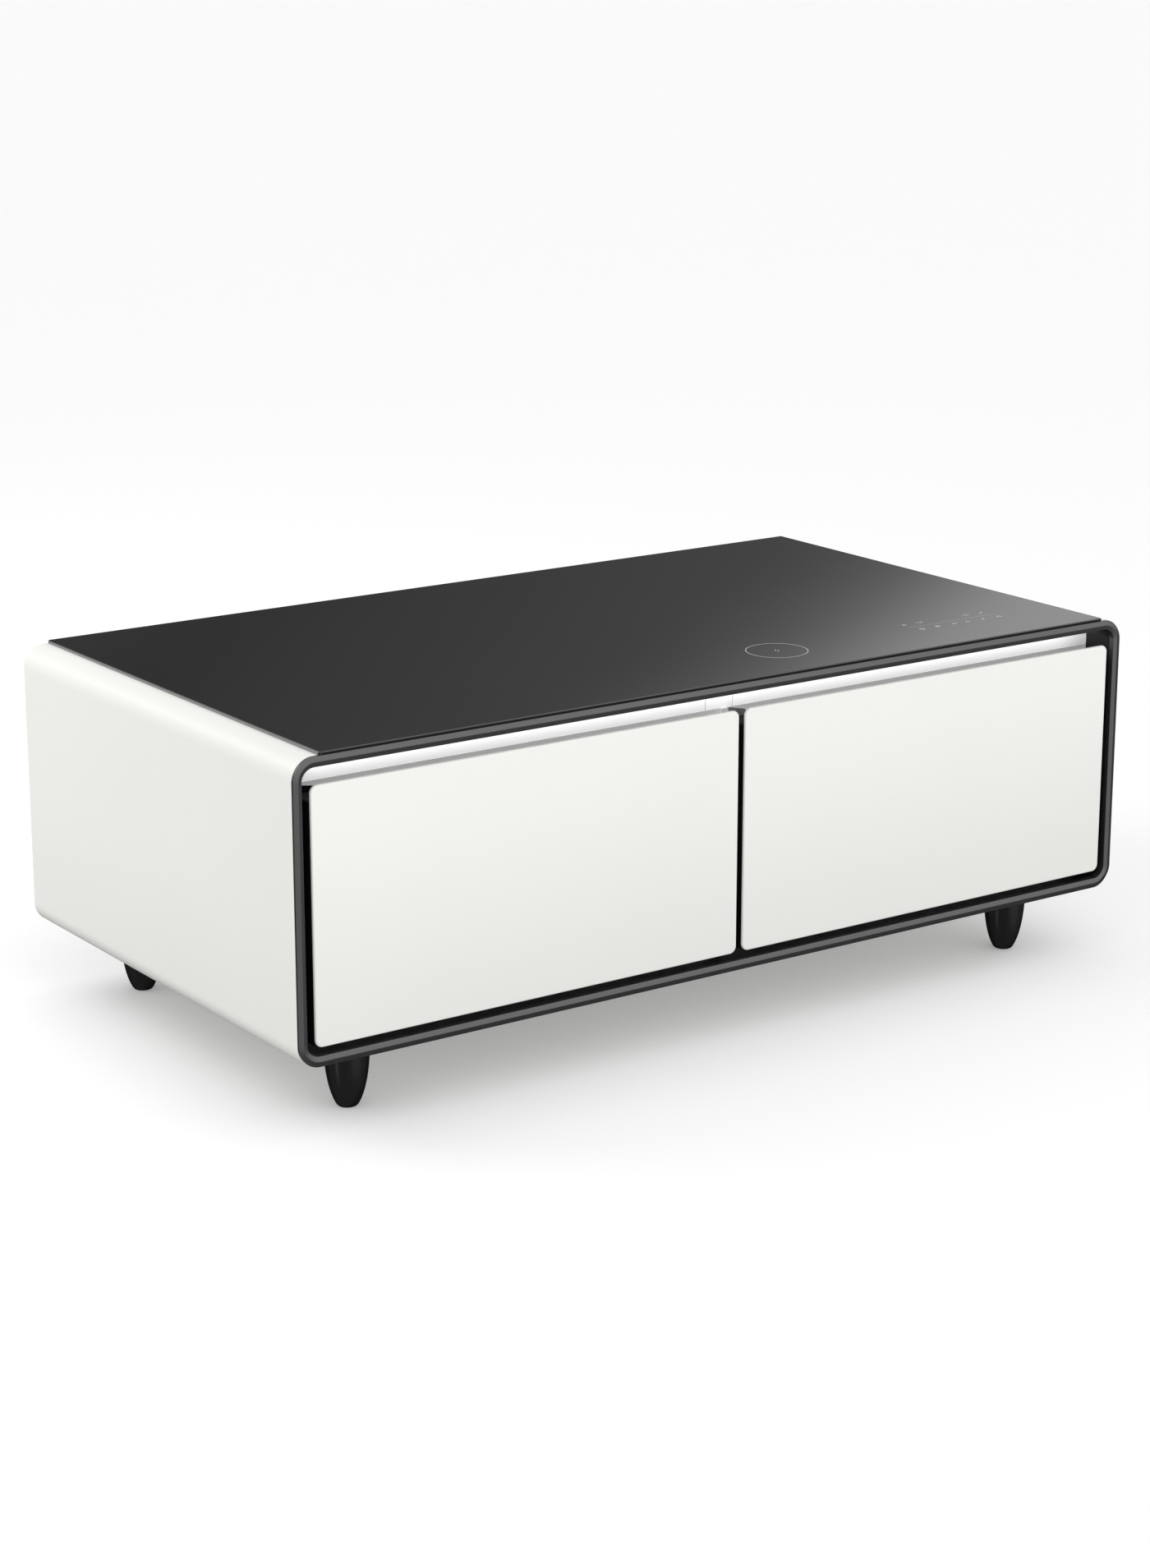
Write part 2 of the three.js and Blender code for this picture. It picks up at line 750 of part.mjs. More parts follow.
// Air cover: a shallow box open to the rear, with a grille and a spider that carries the fan
function airCover(side) {
  const middle = side * roomMiddleX;
  const halfX = airCoverWidth / 2;
  const bottom = roomBottomZ + airCoverEdgeGap;
  const top = roomTopZ - airCoverEdgeGap;
  const back = roomRearY - seatGap;
  const wall = airCoverWall;
  const hull = box(middle - halfX, middle + halfX, airCoverFrontY, back, bottom, top);
  const hollow = box(
    middle - halfX + wall,
    middle + halfX - wall,
    airCoverFrontY + wall,
    back + cutOverrun,
    bottom + wall,
    top - wall,
  );
  const [fanX, fanZ] = airFanPlace(side);
  const front = airCoverFrontY - cutOverrun;
  const bore = turned(rod(airFanBore, 0, 0, 0, wall + 2 * cutOverrun, roundSteps), fanX, front, fanZ);
  const slots = Array.from({ length: airSlotCount }, (_, i) => {
    const z = fanZ + airSlotPitch * (i - (airSlotCount - 1) / 2);
    const slotX = middle + airSlotOffset;
    const halfWide = airSlotWidth / 2;
    const deep = airCoverFrontY + wall + cutOverrun;
    return box(slotX - halfWide, slotX + halfWide, front, deep, z - airSlotHeight / 2, z + airSlotHeight / 2);
  });
  const spider = turned(fanSpider(airFanHubRadius, airFanBore, wall, airFanStruts, airFanHubLength), fanX,
    airCoverFrontY, fanZ);
  return join(cut(hull, hollow, bore, ...slots), spider);
}

// Turns a piece built along +Z so that it runs along +Y, and sets it down.
function turned(geometry, x, y, z) {
  return geometry.rotateX(-Math.PI / 2).translate(x, y, z);
}

// Fans, built along +Z: a hub plate on struts with a spindle, and a rotor that turns on it
function fanSpider(hubRadius, boreRadius, plateDepth, struts, hubLength) {
  const plate = rod(hubRadius, 0, 0, 0, plateDepth, roundSteps);
  const spindle = rod(spindleRadius, 0, 0, 0, plateDepth + hubLength - hubCapThickness, boltSteps);
  const halfWide = fanStrutWidth / 2;
  const reach = boreRadius + cutOverrun;
  const arms = Array.from({ length: struts }, (_, i) => {
    const arm = box(0, reach, -halfWide, halfWide, 0, plateDepth);
    return arm.rotateZ(2 * Math.PI * (i / struts));
  });
  return join(plate, spindle, ...arms);
}

function fanRotor(radius, hubRadius, hubLength, blades) {
  const bore = spindleRadius + spindleClearance;
  const hub = rod(hubRadius, 0, 0, 0, hubLength, roundSteps);
  const wings = Array.from({ length: blades }, (_, i) => {
    const blade = fanBlade(radius, hubRadius, hubLength);
    return blade.rotateZ(2 * Math.PI * (i / blades));
  });
  return cut(join(hub, ...wings), rod(bore, 0, 0, -cutOverrun, hubLength - hubCapThickness, boltSteps));
}

// A twisted blade from the hub to the tip, as thick plates of growing chord and falling pitch
function fanBlade(radius, hubRadius, hubLength) {
  const root = hubRadius - bladeRootSink;
  const half = fanBladeThickness / 2;
  const loops = Array.from({ length: bladeSteps + 1 }, (_, i) => {
    const share = i / bladeSteps;
    const reach = root + (radius - root) * share;
    const pitch = bladeRootPitch + (bladeTipPitch - bladeRootPitch) * share;
    const halfChord = (hubLength / 2 - half) / Math.sin(bladeRootPitch);
    const corners = [[-halfChord, -half], [halfChord, -half], [halfChord, half], [-halfChord, half]];
    return corners.map(([along, across]) => [
      reach,
      along * Math.cos(pitch) - across * Math.sin(pitch),
      along * Math.sin(pitch) + across * Math.cos(pitch) + hubLength / 2,
    ]);
  });
  return skin(loops, false);
}

function airFan(side) {
  const [fanX, fanZ] = airFanPlace(side);
  const rotor = fanRotor(airFanBore - fanTipGap, airFanHubRadius, airFanHubLength, airFanBlades);
  return turned(rotor, fanX, airCoverFrontY + airCoverWall + seatGap, fanZ);
}

// Drawers

function drawerSpan(side) {
  return side > 0 ? [panelInnerX, panelOuterX] : [-panelOuterX, -panelInnerX];
}

function drawerFront(side) {
  const [left, right] = drawerSpan(side);
  const levels = [...roundedEdge(panelEdgeRadius, panelFrontY, 1), [0, panelBackY]];
  return uprightSlab(left, right, panelBottomZ, panelTopZ, panelCornerRadius, levels);
}

function doorCore(side) {
  const [left, right] = drawerSpan(side);
  const levels = [[0, coreFrontY], [0, coreBackY]];
  return uprightSlab(
    left + coreInset,
    right - coreInset,
    panelBottomZ + coreInset,
    coreTopZ,
    coreCornerRadius,
    levels,
  );
}

// Gasket: a soft ring with a groove round its face
function doorGasket(side) {
  const [left, right] = drawerSpan(side);
  const edge = coreInset + gasketInset;
  const groove = (gasketWidth - gasketGrooveWidth) / 2;
  const profile = [
    [0, gasketFrontY],
    [0, gasketBackY],
    [groove, gasketBackY],
    [groove + gasketGrooveWidth / 2, gasketBackY - gasketGrooveDepth],
    [groove + gasketGrooveWidth, gasketBackY],
    [gasketWidth, gasketBackY],
    [gasketWidth, gasketFrontY],
  ];
  const loops = profile.map(([inset, y]) => {
    const outline = roundedOutline(
      left + edge + inset,
      right - edge - inset,
      panelBottomZ + edge + inset,
      coreTopZ - gasketInset - inset,
      gasketCornerRadius - inset,
      smallCornerSteps,
    );
    return outline.map(([x, z]) => [x, y, z]);
  });
  return skin(loops, true);
}

// Bin: an open tub with round corners and a rim
function drawerBin(side) {
  const inner = side > 0 ? roomInnerX : -roomOuterX;
  const outer = side > 0 ? roomOuterX : -roomInnerX;
  const left = inner + binSideGap;
  const right = outer - binSideGap;
  const front = coreBackY + seatGap;
  const bottom = roomBottomZ + binFloorGap;
  const top = roomTopZ - binTopGap;
  const radius = binCornerRadius;
  const tub = flatSlab(left, right, front, binRearY, radius, [[0, bottom], [0, top]]);
  const rimLevels = [[0, top - binRimHeight], [0, top]];
  const wide = binRimWidth;
  const rim = flatSlab(left - wide, right + wide, front, binRearY, radius, rimLevels);
  const hollowLevels = [[0, bottom + binWall], [0, top + cutOverrun]];
  const hollow = flatSlab(
    left + binWall,
    right - binWall,
    front + binWall,
    binRearY - binWall,
    radius - binWall,
    hollowLevels,
  );
  return cut(join(tub, rim), hollow);
}

// Runners. Sections are drawn from the compartment's wall (0) towards the bin.

function cabinetMemberSection() {
  const half = runnerHeight / 2;
  const sheet = runnerSheet;
  const under = half - sheet;
  return [
    [0, -half],
    [runnerFlange, -half],
    [runnerFlange, -under + runnerLip],
    [runnerFlange - sheet, -under + runnerLip],
    [runnerFlange - sheet, -under],
    [sheet, -under],
    [sheet, under],
    [runnerFlange - sheet, under],
    [runnerFlange - sheet, under - runnerLip],
    [runnerFlange, under - runnerLip],
    [runnerFlange, half],
    [0, half],
  ];
}

function channelSection(web, rim, half) {
  const sheet = Math.sign(rim - web) * runnerSheet;
  const under = half - runnerSheet;
  return [
    [web, -half],
    [rim, -half],
    [rim, -under],
    [web + sheet, -under],
    [web + sheet, under],
    [rim, under],
    [rim, half],
    [web, half],
  ];
}

function middleMemberParts() {
  const half = middleHeight / 2;
  const channel = alongY(channelSection(middleSetback, middleRim, half), runnerFrontY, runnerRearY);
  const outerReach = runnerHeight / 2 - runnerSheet - seatGap;
  const outerEdge = runnerFlange - runnerSheet - seatGap;
  const innerReach = innerHeight / 2 + seatGap;
  const rearStart = runnerRearY - cageEndGap - cageLength;
  const frontEnd = runnerFrontY + cageEndGap + cageLength;
  const cages = [-1, 1].flatMap((way) => {
    const span = (a, b) => [Math.min(way * a, way * b), Math.max(way * a, way * b)];
    const outer = span(half - runnerSheet / 2, outerReach);
    const inner = span(innerReach, half - runnerSheet / 2);
    return [
      box(middleSetback, outerEdge, rearStart, runnerRearY - cageEndGap, ...outer),
      box(innerTip, middleRim, runnerFrontY + cageEndGap, frontEnd, ...inner),
    ];
  });
  return join(channel, ...cages);
}

// Sets a runner member, drawn from the wall at 0 towards +X, against a wall.
function againstWall(geometry, wallX, towards) {
  const piece = geometry;
  if (towards < 0) {
    piece.rotateZ(Math.PI).translate(0, runnerFrontY + runnerRearY, 0);
  }
  return piece.translate(wallX + towards * seatGap, 0, runnerZ);
}

function cabinetMember(wallX, towards) {
  return againstWall(alongY(cabinetMemberSection(), runnerFrontY, runnerRearY), wallX, towards);
}

// Turned end for end on the far side, so its cages are built at mirrored ends.
function middleMember(wallX, towards) {
  const parts = middleMemberParts();
  if (towards > 0) {
    return againstWall(parts, wallX, towards);
  }
  const mirrored = toGeometry(toSolid(parts).mirror([1, 0, 0]));
  return mirrored.translate(wallX - seatGap, 0, runnerZ);
}

function drawerMember(wallX, towards) {
  const section = channelSection(runnerWidth, innerTip, innerHeight / 2);
  return againstWall(alongY(section, runnerFrontY, runnerRearY), wallX, towards);
}

// Legs

function legPlaces() {
  return [[-legX, -legY], [legX, -legY], [-legX, legY], [legX, legY]];
}

// Radius of the bullet-shaped leg at a height: part of an ellipse
function legRadius(z) {
  const below = (legHeight + legCrownRise - z) / legBulge;
  return legTopRadius * Math.sqrt(1 - below * below);
}

function leg(x, y) {
  const foot = legRadius(legFootRound);
  const profile = [[0, 0], [foot - legFootRound, 0]];
  for (let i = 0; i <= legRings; i += 1) {
    const z = legFootRound + (legHeight - legFootRound) * (i / legRings);
    profile.push([legRadius(z), z]);
  }
  const studTop = legHeight + studLength;
  profile.push([studRadius, legHeight], [studRadius, studTop], [0, studTop]);
  const points = profile.map(([radius, z]) => new THREE.Vector2(radius, z));
  return new THREE.LatheGeometry(points, legSteps).rotateX(Math.PI / 2).translate(x, y, 0);
}

function legPlate(x, y) {
  const half = legPlateSize / 2;
  const plate = box(x - half, x + half, y - half, y + half, legPlateBottomZ, legPlateTopZ);
  const radius = studRadius + boltClearance;
  return cut(plate, rod(radius, x, y, legPlateBottomZ - cutOverrun, legPlateTopZ + cutOverrun, boltSteps));
}

// Rear panel

// One hooded louvre: a slot to cut, and a sloping hood that shields it from above.
function louvreSlot(x, z) {
  const half = louvreWidth / 2;
  const inside = rearPanelInnerY - cutOverrun;
  const outside = rearPanelOuterY + cutOverrun;
  return box(x - half, x + half, inside, outside, z, z + louvreSlotHeight);
}

function louvreHood(x, z) {
  const half = louvreWidth / 2 + louvreHoodWall;
  const root = rearPanelOuterY - rearPanelThickness / 2;
  const tip = rearPanelOuterY + louvreHoodReach;
  const top = z + louvreSlotHeight;
  const profile = [
    [root, top],
    [rearPanelOuterY, top],
    [tip, top - louvreHoodDrop],
    [tip, top - louvreHoodDrop + louvreHoodWall],
    [rearPanelOuterY, top + 2 * louvreHoodWall],
    [root, top + 2 * louvreHoodWall],
  ];
  return alongX(profile, x - half, x + half);
}

function rearPanel() {
  const slab = bodySlab(insideShell, rearPanelInnerY, rearPanelOuterY);
  const places = [leftLouvreX, rightLouvreX].flatMap((fieldX) => (
    Array.from({ length: louvreColumns * louvreRows }, (_, i) => {
      const column = i % louvreColumns;
      const row = Math.floor(i / louvreColumns);
      const x = fieldX + louvreColumnPitch * (column - (louvreColumns - 1) / 2);
      return [x, bodyBottomZ + louvreFieldRise + louvrePitch * row];
    })
  ));
  const slots = places.map(([x, z]) => louvreSlot(x, z));
  const hoods = places.map(([x, z]) => louvreHood(x, z));
  const halfX = inletBodyWidth / 2 + seatGap;
  const halfZ = inletBodyHeight / 2 + seatGap;
  const z = bodyBottomZ + inletRise;
  const inside = rearPanelInnerY - cutOverrun;
  const hole = box(inletX - halfX, inletX + halfX, inside, rearPanelOuterY + cutOverrun, z - halfZ, z + halfZ);
  return join(cut(slab, hole, ...slots), ...hoods);
}

// Mains inlet: a flanged socket with three flat pins
function powerInlet() {
  const z = bodyBottomZ + inletRise;
  const flangeFrontY = rearPanelOuterY + seatGap;
  const faceY = flangeFrontY + inletFlangeThickness;
  const floorY = faceY - inletSocketDepth;
  const halfBodyX = inletBodyWidth / 2;
  const halfBodyZ = inletBodyHeight / 2;
  const halfFlangeX = inletFlangeWidth / 2;
  const halfFlangeZ = inletFlangeHeight / 2;
  const flange = box(
    inletX - halfFlangeX,
    inletX + halfFlangeX,
    flangeFrontY,
    faceY,
    z - halfFlangeZ,
    z + halfFlangeZ,
  );
  const backY = faceY - inletBodyDepth;
  const body = box(inletX - halfBodyX, inletX + halfBodyX, backY, faceY, z - halfBodyZ, z + halfBodyZ);
  const wall = inletWall;
  const socket = box(
    inletX - halfBodyX + wall,
    inletX + halfBodyX - wall,
    floorY,
    faceY + cutOverrun,
    z - halfBodyZ + wall,
    z + halfBodyZ - wall,
  );
  const pinPlaces = [
    [-inletPinPitch, -inletPinOffset],
    [0, inletEarthOffset],
    [inletPinPitch, -inletPinOffset],
  ];
  const pins = pinPlaces.map(([x, up]) => box(
    inletX + x - inletPinWidth / 2,
    inletX + x + inletPinWidth / 2,
    floorY - cutOverrun,
    floorY + inletPinLength,
    z + up - inletPinHeight / 2,
    z + up + inletPinHeight / 2,
  ));
  return join(cut(join(flange, body), socket), ...pins);
}

// Machine compartment

function machineTray() {
  const halfX = halfWidth - shellWall - trayEndGap;
  const lipTop = trayTopZ + trayLipHeight;
  const pan = box(-halfX, halfX, trayFrontY, trayRearY, trayBottomZ, lipTop);
  const wall = trayThickness;
  const above = lipTop + cutOverrun;
  const inside = box(-halfX + wall, halfX - wall, trayFrontY + wall, trayRearY - wall, trayTopZ, above);
  return cut(pan, inside);
}

function compressor() {
  const baseBottom = machineSeatZ + grommetHeight;
  const canBottom = baseBottom + compressorBaseThickness;
  const shoulder = canBottom + compressorCanHeight - compressorDomeHeight;
  const seam = canBottom + compressorCanHeight / 2;
  const profile = [
    [0, canBottom - compressorBaseThickness / 2],
    [compressorRadius, canBottom - compressorBaseThickness / 2],
    [compressorRadius, seam],
    [compressorRadius + compressorSeamWidth, seam],
    [compressorRadius + compressorSeamWidth, seam + compressorSeamHeight],
    [compressorRadius, seam + compressorSeamHeight],
  ];
  for (let i = 0; i <= compressorDomeSteps; i += 1) {
    const angle = (Math.PI / 2) * (i / compressorDomeSteps);
    const radius = i < compressorDomeSteps ? compressorRadius * Math.cos(angle) : 0;
    profile.push([radius, shoulder + compressorDomeHeight * Math.sin(angle)]);
  }
  const points = profile.map(([radius, z]) => new THREE.Vector2(radius, z));
  const can = new THREE.LatheGeometry(points, roundSteps).rotateX(Math.PI / 2);
  can.scale(compressorStretchShare, 1, 1).translate(compressorX, machineMiddleY, 0);
  const halfX = compressorBaseWidth / 2;
  const halfY = compressorBaseDepth / 2;
  const base = box(
    compressorX - halfX,
    compressorX + halfX,
    machineMiddleY - halfY,
    machineMiddleY + halfY,
    baseBottom,
    canBottom,
  );
  const grommets = [[-1, -1], [1, -1], [-1, 1], [1, 1]].map(([a, b]) => rod(
    grommetRadius,
    compressorX + a * (halfX - grommetInset),
    machineMiddleY + b * (halfY - grommetInset),
    machineSeatZ,
    canBottom,
    boltSteps,
  ));
  const stubs = [-1, 1].map((way) => rod(
    stubRadius,
    compressorX + way * (stubSpacing / 2),
    machineMiddleY,
    shoulder,
    stubTopZ(),
    boltSteps,
  ));
  return join(can, base, ...grommets, ...stubs);
}

function stubTopZ() {
  const canBottom = machineSeatZ + grommetHeight + compressorBaseThickness;
  return canBottom + compressorCanHeight + stubLength;
}

function condenserFanFrame() {
  const half = condenserFanSize / 2;
  const plate = box(-half, half, -half, half, 0, condenserFanDepth);
  const bore = rod(condenserFanBore, 0, 0, -cutOverrun, condenserFanDepth + cutOverrun, roundSteps);
  const pitch = half - condenserFanHoleInset;
  const holes = [[-1, -1], [1, -1], [-1, 1], [1, 1]].map(([a, b]) => rod(
    condenserFanHoleRadius,
    a * pitch,
    b * pitch,
    -cutOverrun,
    condenserFanDepth + cutOverrun,
    boltSteps,
  ));
  const spider = fanSpider(
    condenserFanHubRadius,
    condenserFanBore,
    fanStrutDepth,
    condenserFanStruts,
    condenserFanHubLength,
  );
  return facingRight(join(cut(plate, bore, ...holes), spider), 0);
}

// Turns a fan piece built along +Z so that it runs along +X, at the condenser fan's place.
function facingRight(geometry, forward) {
  const z = machineSeatZ + condenserFanSize / 2;
  return geometry.rotateY(Math.PI / 2).translate(condenserFanX + forward, machineMiddleY, z);
}

function condenserFan() {
  const reach = condenserFanBore - fanTipGap;
  const rotor = fanRotor(reach, condenserFanHubRadius, condenserFanHubLength, condenserFanBlades);
  return facingRight(rotor, fanStrutDepth + seatGap);
}

// Condenser: a finned block behind the fan, with a stub for the pipe
function condenser() {
  const size = condenserFanSize;
  const fins = finBlock(size, size, condenserDepth, condenserFins).rotateZ(Math.PI / 2);
  const x = condenserX();
  fins.translate(x, machineMiddleY, machineSeatZ);
  const top = machineSeatZ + size;
  const stub = rod(stubRadius, x, machineMiddleY, top - stubLength, top + stubLength, boltSteps);
  return join(fins, stub);
}

function condenserX() {
  return condenserFanX + condenserFanDepth + seatGap + condenserDepth / 2;
}

// Pipe from the evaporators, out of the foam's rear face and down into the compressor
function suctionPipe() {
  const startZ = bodyBottomZ + suctionEntryRise;
  const startY = foamRearY + seatGap;
  const endX = compressorX - stubSpacing / 2;
  const endZ = stubTopZ() + seatGap;
  return pipe([
    [suctionEntryX, startY, startZ],
    [suctionEntryX, startY + pipeLead, startZ],
    [(suctionEntryX + endX) / 2, (startY + pipeLead + machineMiddleY) / 2, startZ + pipeLead / 2],
    [endX, machineMiddleY, endZ + pipeLead],
    [endX, machineMiddleY, endZ],
  ], pipeRadius);
}

// Pipe from the compressor over to the condenser
function dischargePipe() {
  const startX = compressorX + stubSpacing / 2;
  const startZ = stubTopZ() + seatGap;
  const endX = condenserX();
  const endZ = machineSeatZ + condenserFanSize + stubLength + seatGap;
  return pipe([
    [startX, machineMiddleY, startZ],
    [startX, machineMiddleY, startZ + pipeLead / 2],
    [startX + pipeLead, machineMiddleY, startZ + dischargeRise],
    [endX - pipeLead, machineMiddleY, startZ + dischargeRise],
    [endX, machineMiddleY, startZ],
    [endX, machineMiddleY, endZ],
  ], pipeRadius);
}

function controlBox() {
  const halfX = controlBoxWidth / 2;
  const halfY = controlBoxDepth / 2;
  const top = machineSeatZ + controlBoxHeight;
  const over = controlLidOverhang;
  const body = box(
    controlBoxX - halfX,
    controlBoxX + halfX,
    machineMiddleY - halfY,
    machineMiddleY + halfY,
    machineSeatZ,
    top,
  );
  const lid = box(
    controlBoxX - halfX - over,
    controlBoxX + halfX + over,
    machineMiddleY - halfY - over,
    machineMiddleY + halfY + over,
    top - controlLidThickness,
    top,
  );
  return join(body, lid);
}

// The whole table

add('outer_shell', 'whiteSteel', outerShell());
add('front_trim', 'blackTrim', frontTrim());
add('front_bezel', 'blackPlastic', frontBezel());
add('glass_top', 'darkGlass', glassTop());
add('top_deck', 'blackPlastic', topDeck());
add('touch_board', 'circuitGreen', touchBoard());
add('charging_coil', 'copper', chargingCoil());

const centreHalf = centreStripWidth / 2;
add('recess_strip_left', 'whitePlastic', recessStrip(-halfWidth, -centreHalf - seatGap / 2));
add('recess_strip_centre', 'whitePlastic', recessStrip(-centreHalf + seatGap / 2, centreHalf - seatGap / 2));
add('recess_strip_right', 'whitePlastic', recessStrip(centreHalf + seatGap / 2, halfWidth));

add('insulation_foam', 'foam', insulationFoam());

for (const [hand, side] of [['left', -1], ['right', 1]]) {
  add(`liner_${hand}`, 'whitePlastic', liner(side));
  add(`evaporator_${hand}`, 'aluminium', evaporator(side));
  add(`air_cover_${hand}`, 'whitePlastic', airCover(side));
  add(`air_fan_${hand}`, 'blackPlastic', airFan(side));
  add(`drawer_front_${hand}`, 'whiteFront', drawerFront(side));
  add(`door_core_${hand}`, 'blackPlastic', doorCore(side));
  add(`door_gasket_${hand}`, 'greyRubber', doorGasket(side));
  add(`drawer_bin_${hand}`, 'binPlastic', drawerBin(side));
  const leftWall = side > 0 ? roomInnerX : -roomOuterX;
  const rightWall = side > 0 ? roomOuterX : -roomInnerX;
  for (const [end, wallX, towards] of [['a', leftWall, 1], ['b', rightWall, -1]]) {
    add(`runner_cabinet_${hand}_${end}`, 'zincSteel', cabinetMember(wallX, towards));
    add(`runner_middle_${hand}_${end}`, 'zincSteel', middleMember(wallX, towards));
    add(`runner_drawer_${hand}_${end}`, 'zincSteel', drawerMember(wallX, towards));
  }
}

const legNames = ['front_left', 'front_right', 'rear_left', 'rear_right'];
legPlaces().forEach(([x, y], i) => {
  add(`leg_${legNames[i]}`, 'blackPlastic', leg(x, y));
  add(`leg_plate_${legNames[i]}`, 'zincSteel', legPlate(x, y));
});

add('rear_panel', 'blackSteel', rearPanel());
add('power_inlet', 'blackPlastic', powerInlet());
add('machine_tray', 'zincSteel', machineTray());
add('compressor', 'blackSteel', compressor());
add('condenser', 'aluminium', condenser());
add('condenser_fan_frame', 'blackPlastic', condenserFanFrame());
add('condenser_fan', 'blackPlastic', condenserFan());
add('suction_pipe', 'copper', suctionPipe());
add('discharge_pipe', 'copper', dischargePipe());
add('control_box', 'blackPlastic', controlBox());

export default table;
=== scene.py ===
# %% [markdown]
# A coffee table with two cooled drawers.
# The measured solids of the table are loaded first and stay as they are. Most pieces below dress one of
# them, in its place and within a few millimetres of its size. Small ones, such as screws, are added.

# %% Load the measured solids
import json
from math import pi, radians

import bmesh
import bpy
import numpy as np
from mathutils import Euler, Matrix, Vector
from mathutils.geometry import delaunay_2d_cdt


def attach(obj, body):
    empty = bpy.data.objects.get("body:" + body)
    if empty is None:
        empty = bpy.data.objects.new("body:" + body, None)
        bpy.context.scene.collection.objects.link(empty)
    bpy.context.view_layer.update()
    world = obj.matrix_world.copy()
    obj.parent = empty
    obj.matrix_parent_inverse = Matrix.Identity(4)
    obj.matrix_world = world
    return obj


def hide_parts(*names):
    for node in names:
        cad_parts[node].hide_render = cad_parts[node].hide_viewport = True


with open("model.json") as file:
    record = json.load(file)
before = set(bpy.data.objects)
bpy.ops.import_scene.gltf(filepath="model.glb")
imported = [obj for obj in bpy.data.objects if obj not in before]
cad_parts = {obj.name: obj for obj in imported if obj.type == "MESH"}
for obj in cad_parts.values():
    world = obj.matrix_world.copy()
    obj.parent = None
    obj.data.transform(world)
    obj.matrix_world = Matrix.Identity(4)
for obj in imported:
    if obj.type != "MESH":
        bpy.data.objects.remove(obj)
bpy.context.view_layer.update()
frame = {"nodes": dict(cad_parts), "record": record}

nodes = frame["nodes"]

# %% [markdown]
# The camera stands high to the left of the front and looks slightly down, as for a catalogue picture.
# Its place and lens come from the perspective of the table's long edges, so straight lines fall where they
# do in the picture. The lens is worked out from the focal length in picture points and the picture's height.

# %% Camera
picture_height = 1909
focal_points = 4008.0
camera = bpy.data.objects.new("catalogue_camera", bpy.data.cameras.new("catalogue_camera"))
camera.data.lens = camera.data.sensor_width * focal_points / picture_height
camera.data.clip_end = 300
camera.location = (-2.46487, -3.51001, 1.44986)
camera.rotation_euler = Euler((radians(74.5084), 0, radians(-34.9451)))
bpy.context.scene.collection.objects.link(camera)
bpy.context.scene.camera = camera
print("lens:", round(camera.data.lens, 2), "mm")

# %% [markdown]
# Shader trees are easier to read when each node takes one line. The first helper puts a node in a tree and
# fills its sockets, either with a plain value or with another node's output. The second does one sum, the
# third makes a smooth step, and the last scales a colour.

# %% Helpers for shader trees
def put(tree, kind, sockets=None, **settings):
    """A node in a tree: sockets maps a socket's name or number to a value or to another node's output."""
    node = tree.nodes.new(kind)
    for key, value in settings.items():
        setattr(node, key, value)
    for key, value in (sockets or {}).items():
        if isinstance(value, bpy.types.NodeSocket):
            tree.links.new(value, node.inputs[key])
        else:
            node.inputs[key].default_value = value
    return node


def reckon(tree, operation, *values):
    """The output of one Math node."""
    return put(tree, "ShaderNodeMath", dict(enumerate(values)), operation=operation).outputs[0]


def ramp(tree, value, low, high, low_result, high_result):
    """A smooth step from low_result to high_result while value goes from low to high."""
    sockets = {"Value": value, "From Min": low, "From Max": high, "To Min": low_result, "To Max": high_result}
    return put(tree, "ShaderNodeMapRange", sockets, interpolation_type="SMOOTHSTEP").outputs[0]


def toned(tree, tint, share):
    """A colour scaled by a share."""
    return put(tree, "ShaderNodeVectorMath", {0: tint, "Scale": share}, operation="SCALE").outputs[0]


# %% [markdown]
# A white studio: light comes from a bright tent all round, a little stronger in front. One part of the tent,
# low down behind the table, is left dark, and that is what the glass top mirrors on its left. The dark part
# ends along a slanting line, so the glass shades from near black to grey towards its right front corner.
# Below the horizon the tent is nearly dark, but for three patches, which show in glossy faces that are
# turned a little downwards. The camera itself sees plain white, which makes the picture's background.

# %% Studio light
world = bpy.data.worlds.new("studio_tent")
world.use_nodes = True
bpy.context.scene.world = world
tent = world.node_tree
direction = put(tent, "ShaderNodeTexCoord").outputs["Object"]
split = put(tent, "ShaderNodeSeparateXYZ", {0: direction})
height = split.outputs["Z"]
heading = reckon(tent, "ARCTAN2", split.outputs["X"], split.outputs["Y"])
edge_slope, edge_start, edge_width = 1.47, radians(44), radians(22)
slant = reckon(tent, "MULTIPLY_ADD", reckon(tent, "ARCSINE", height), edge_slope, heading)
slant_share = reckon(tent, "DIVIDE", reckon(tent, "SUBTRACT", slant, edge_start), edge_width)
dark_edge = put(tent, "ShaderNodeValToRGB", {0: slant_share})
dark_edge.color_ramp.interpolation = "CARDINAL"
stops = {0.0: 0.1, 0.14: 0.07, 0.25: 0.098, 0.36: 0.115, 0.46: 0.137, 0.54: 0.145, 0.59: 0.21, 0.64: 0.285,
         0.67: 0.44, 0.7: 0.6, 0.735: 0.88, 0.78: 1.08, 0.88: 1.3, 1.0: 1.35}
ramp_stops = dark_edge.color_ramp.elements
for at, value in stops.items():
    stop = {0.0: ramp_stops[0], 1.0: ramp_stops[-1]}.get(at) or ramp_stops.new(at)
    stop.color = (value, value, value, 1)
left_edge = ramp(tent, heading, radians(-60), radians(-20), 1, 0)
behind = reckon(tent, "MAXIMUM", dark_edge.outputs[0], left_edge)


def towards_axis(axis):
    """How far each direction of the tent points along an axis: their dot product."""
    sockets = {0: direction, 1: axis}
    return put(tent, "ShaderNodeVectorMath", sockets, operation="DOT_PRODUCT").outputs["Value"]


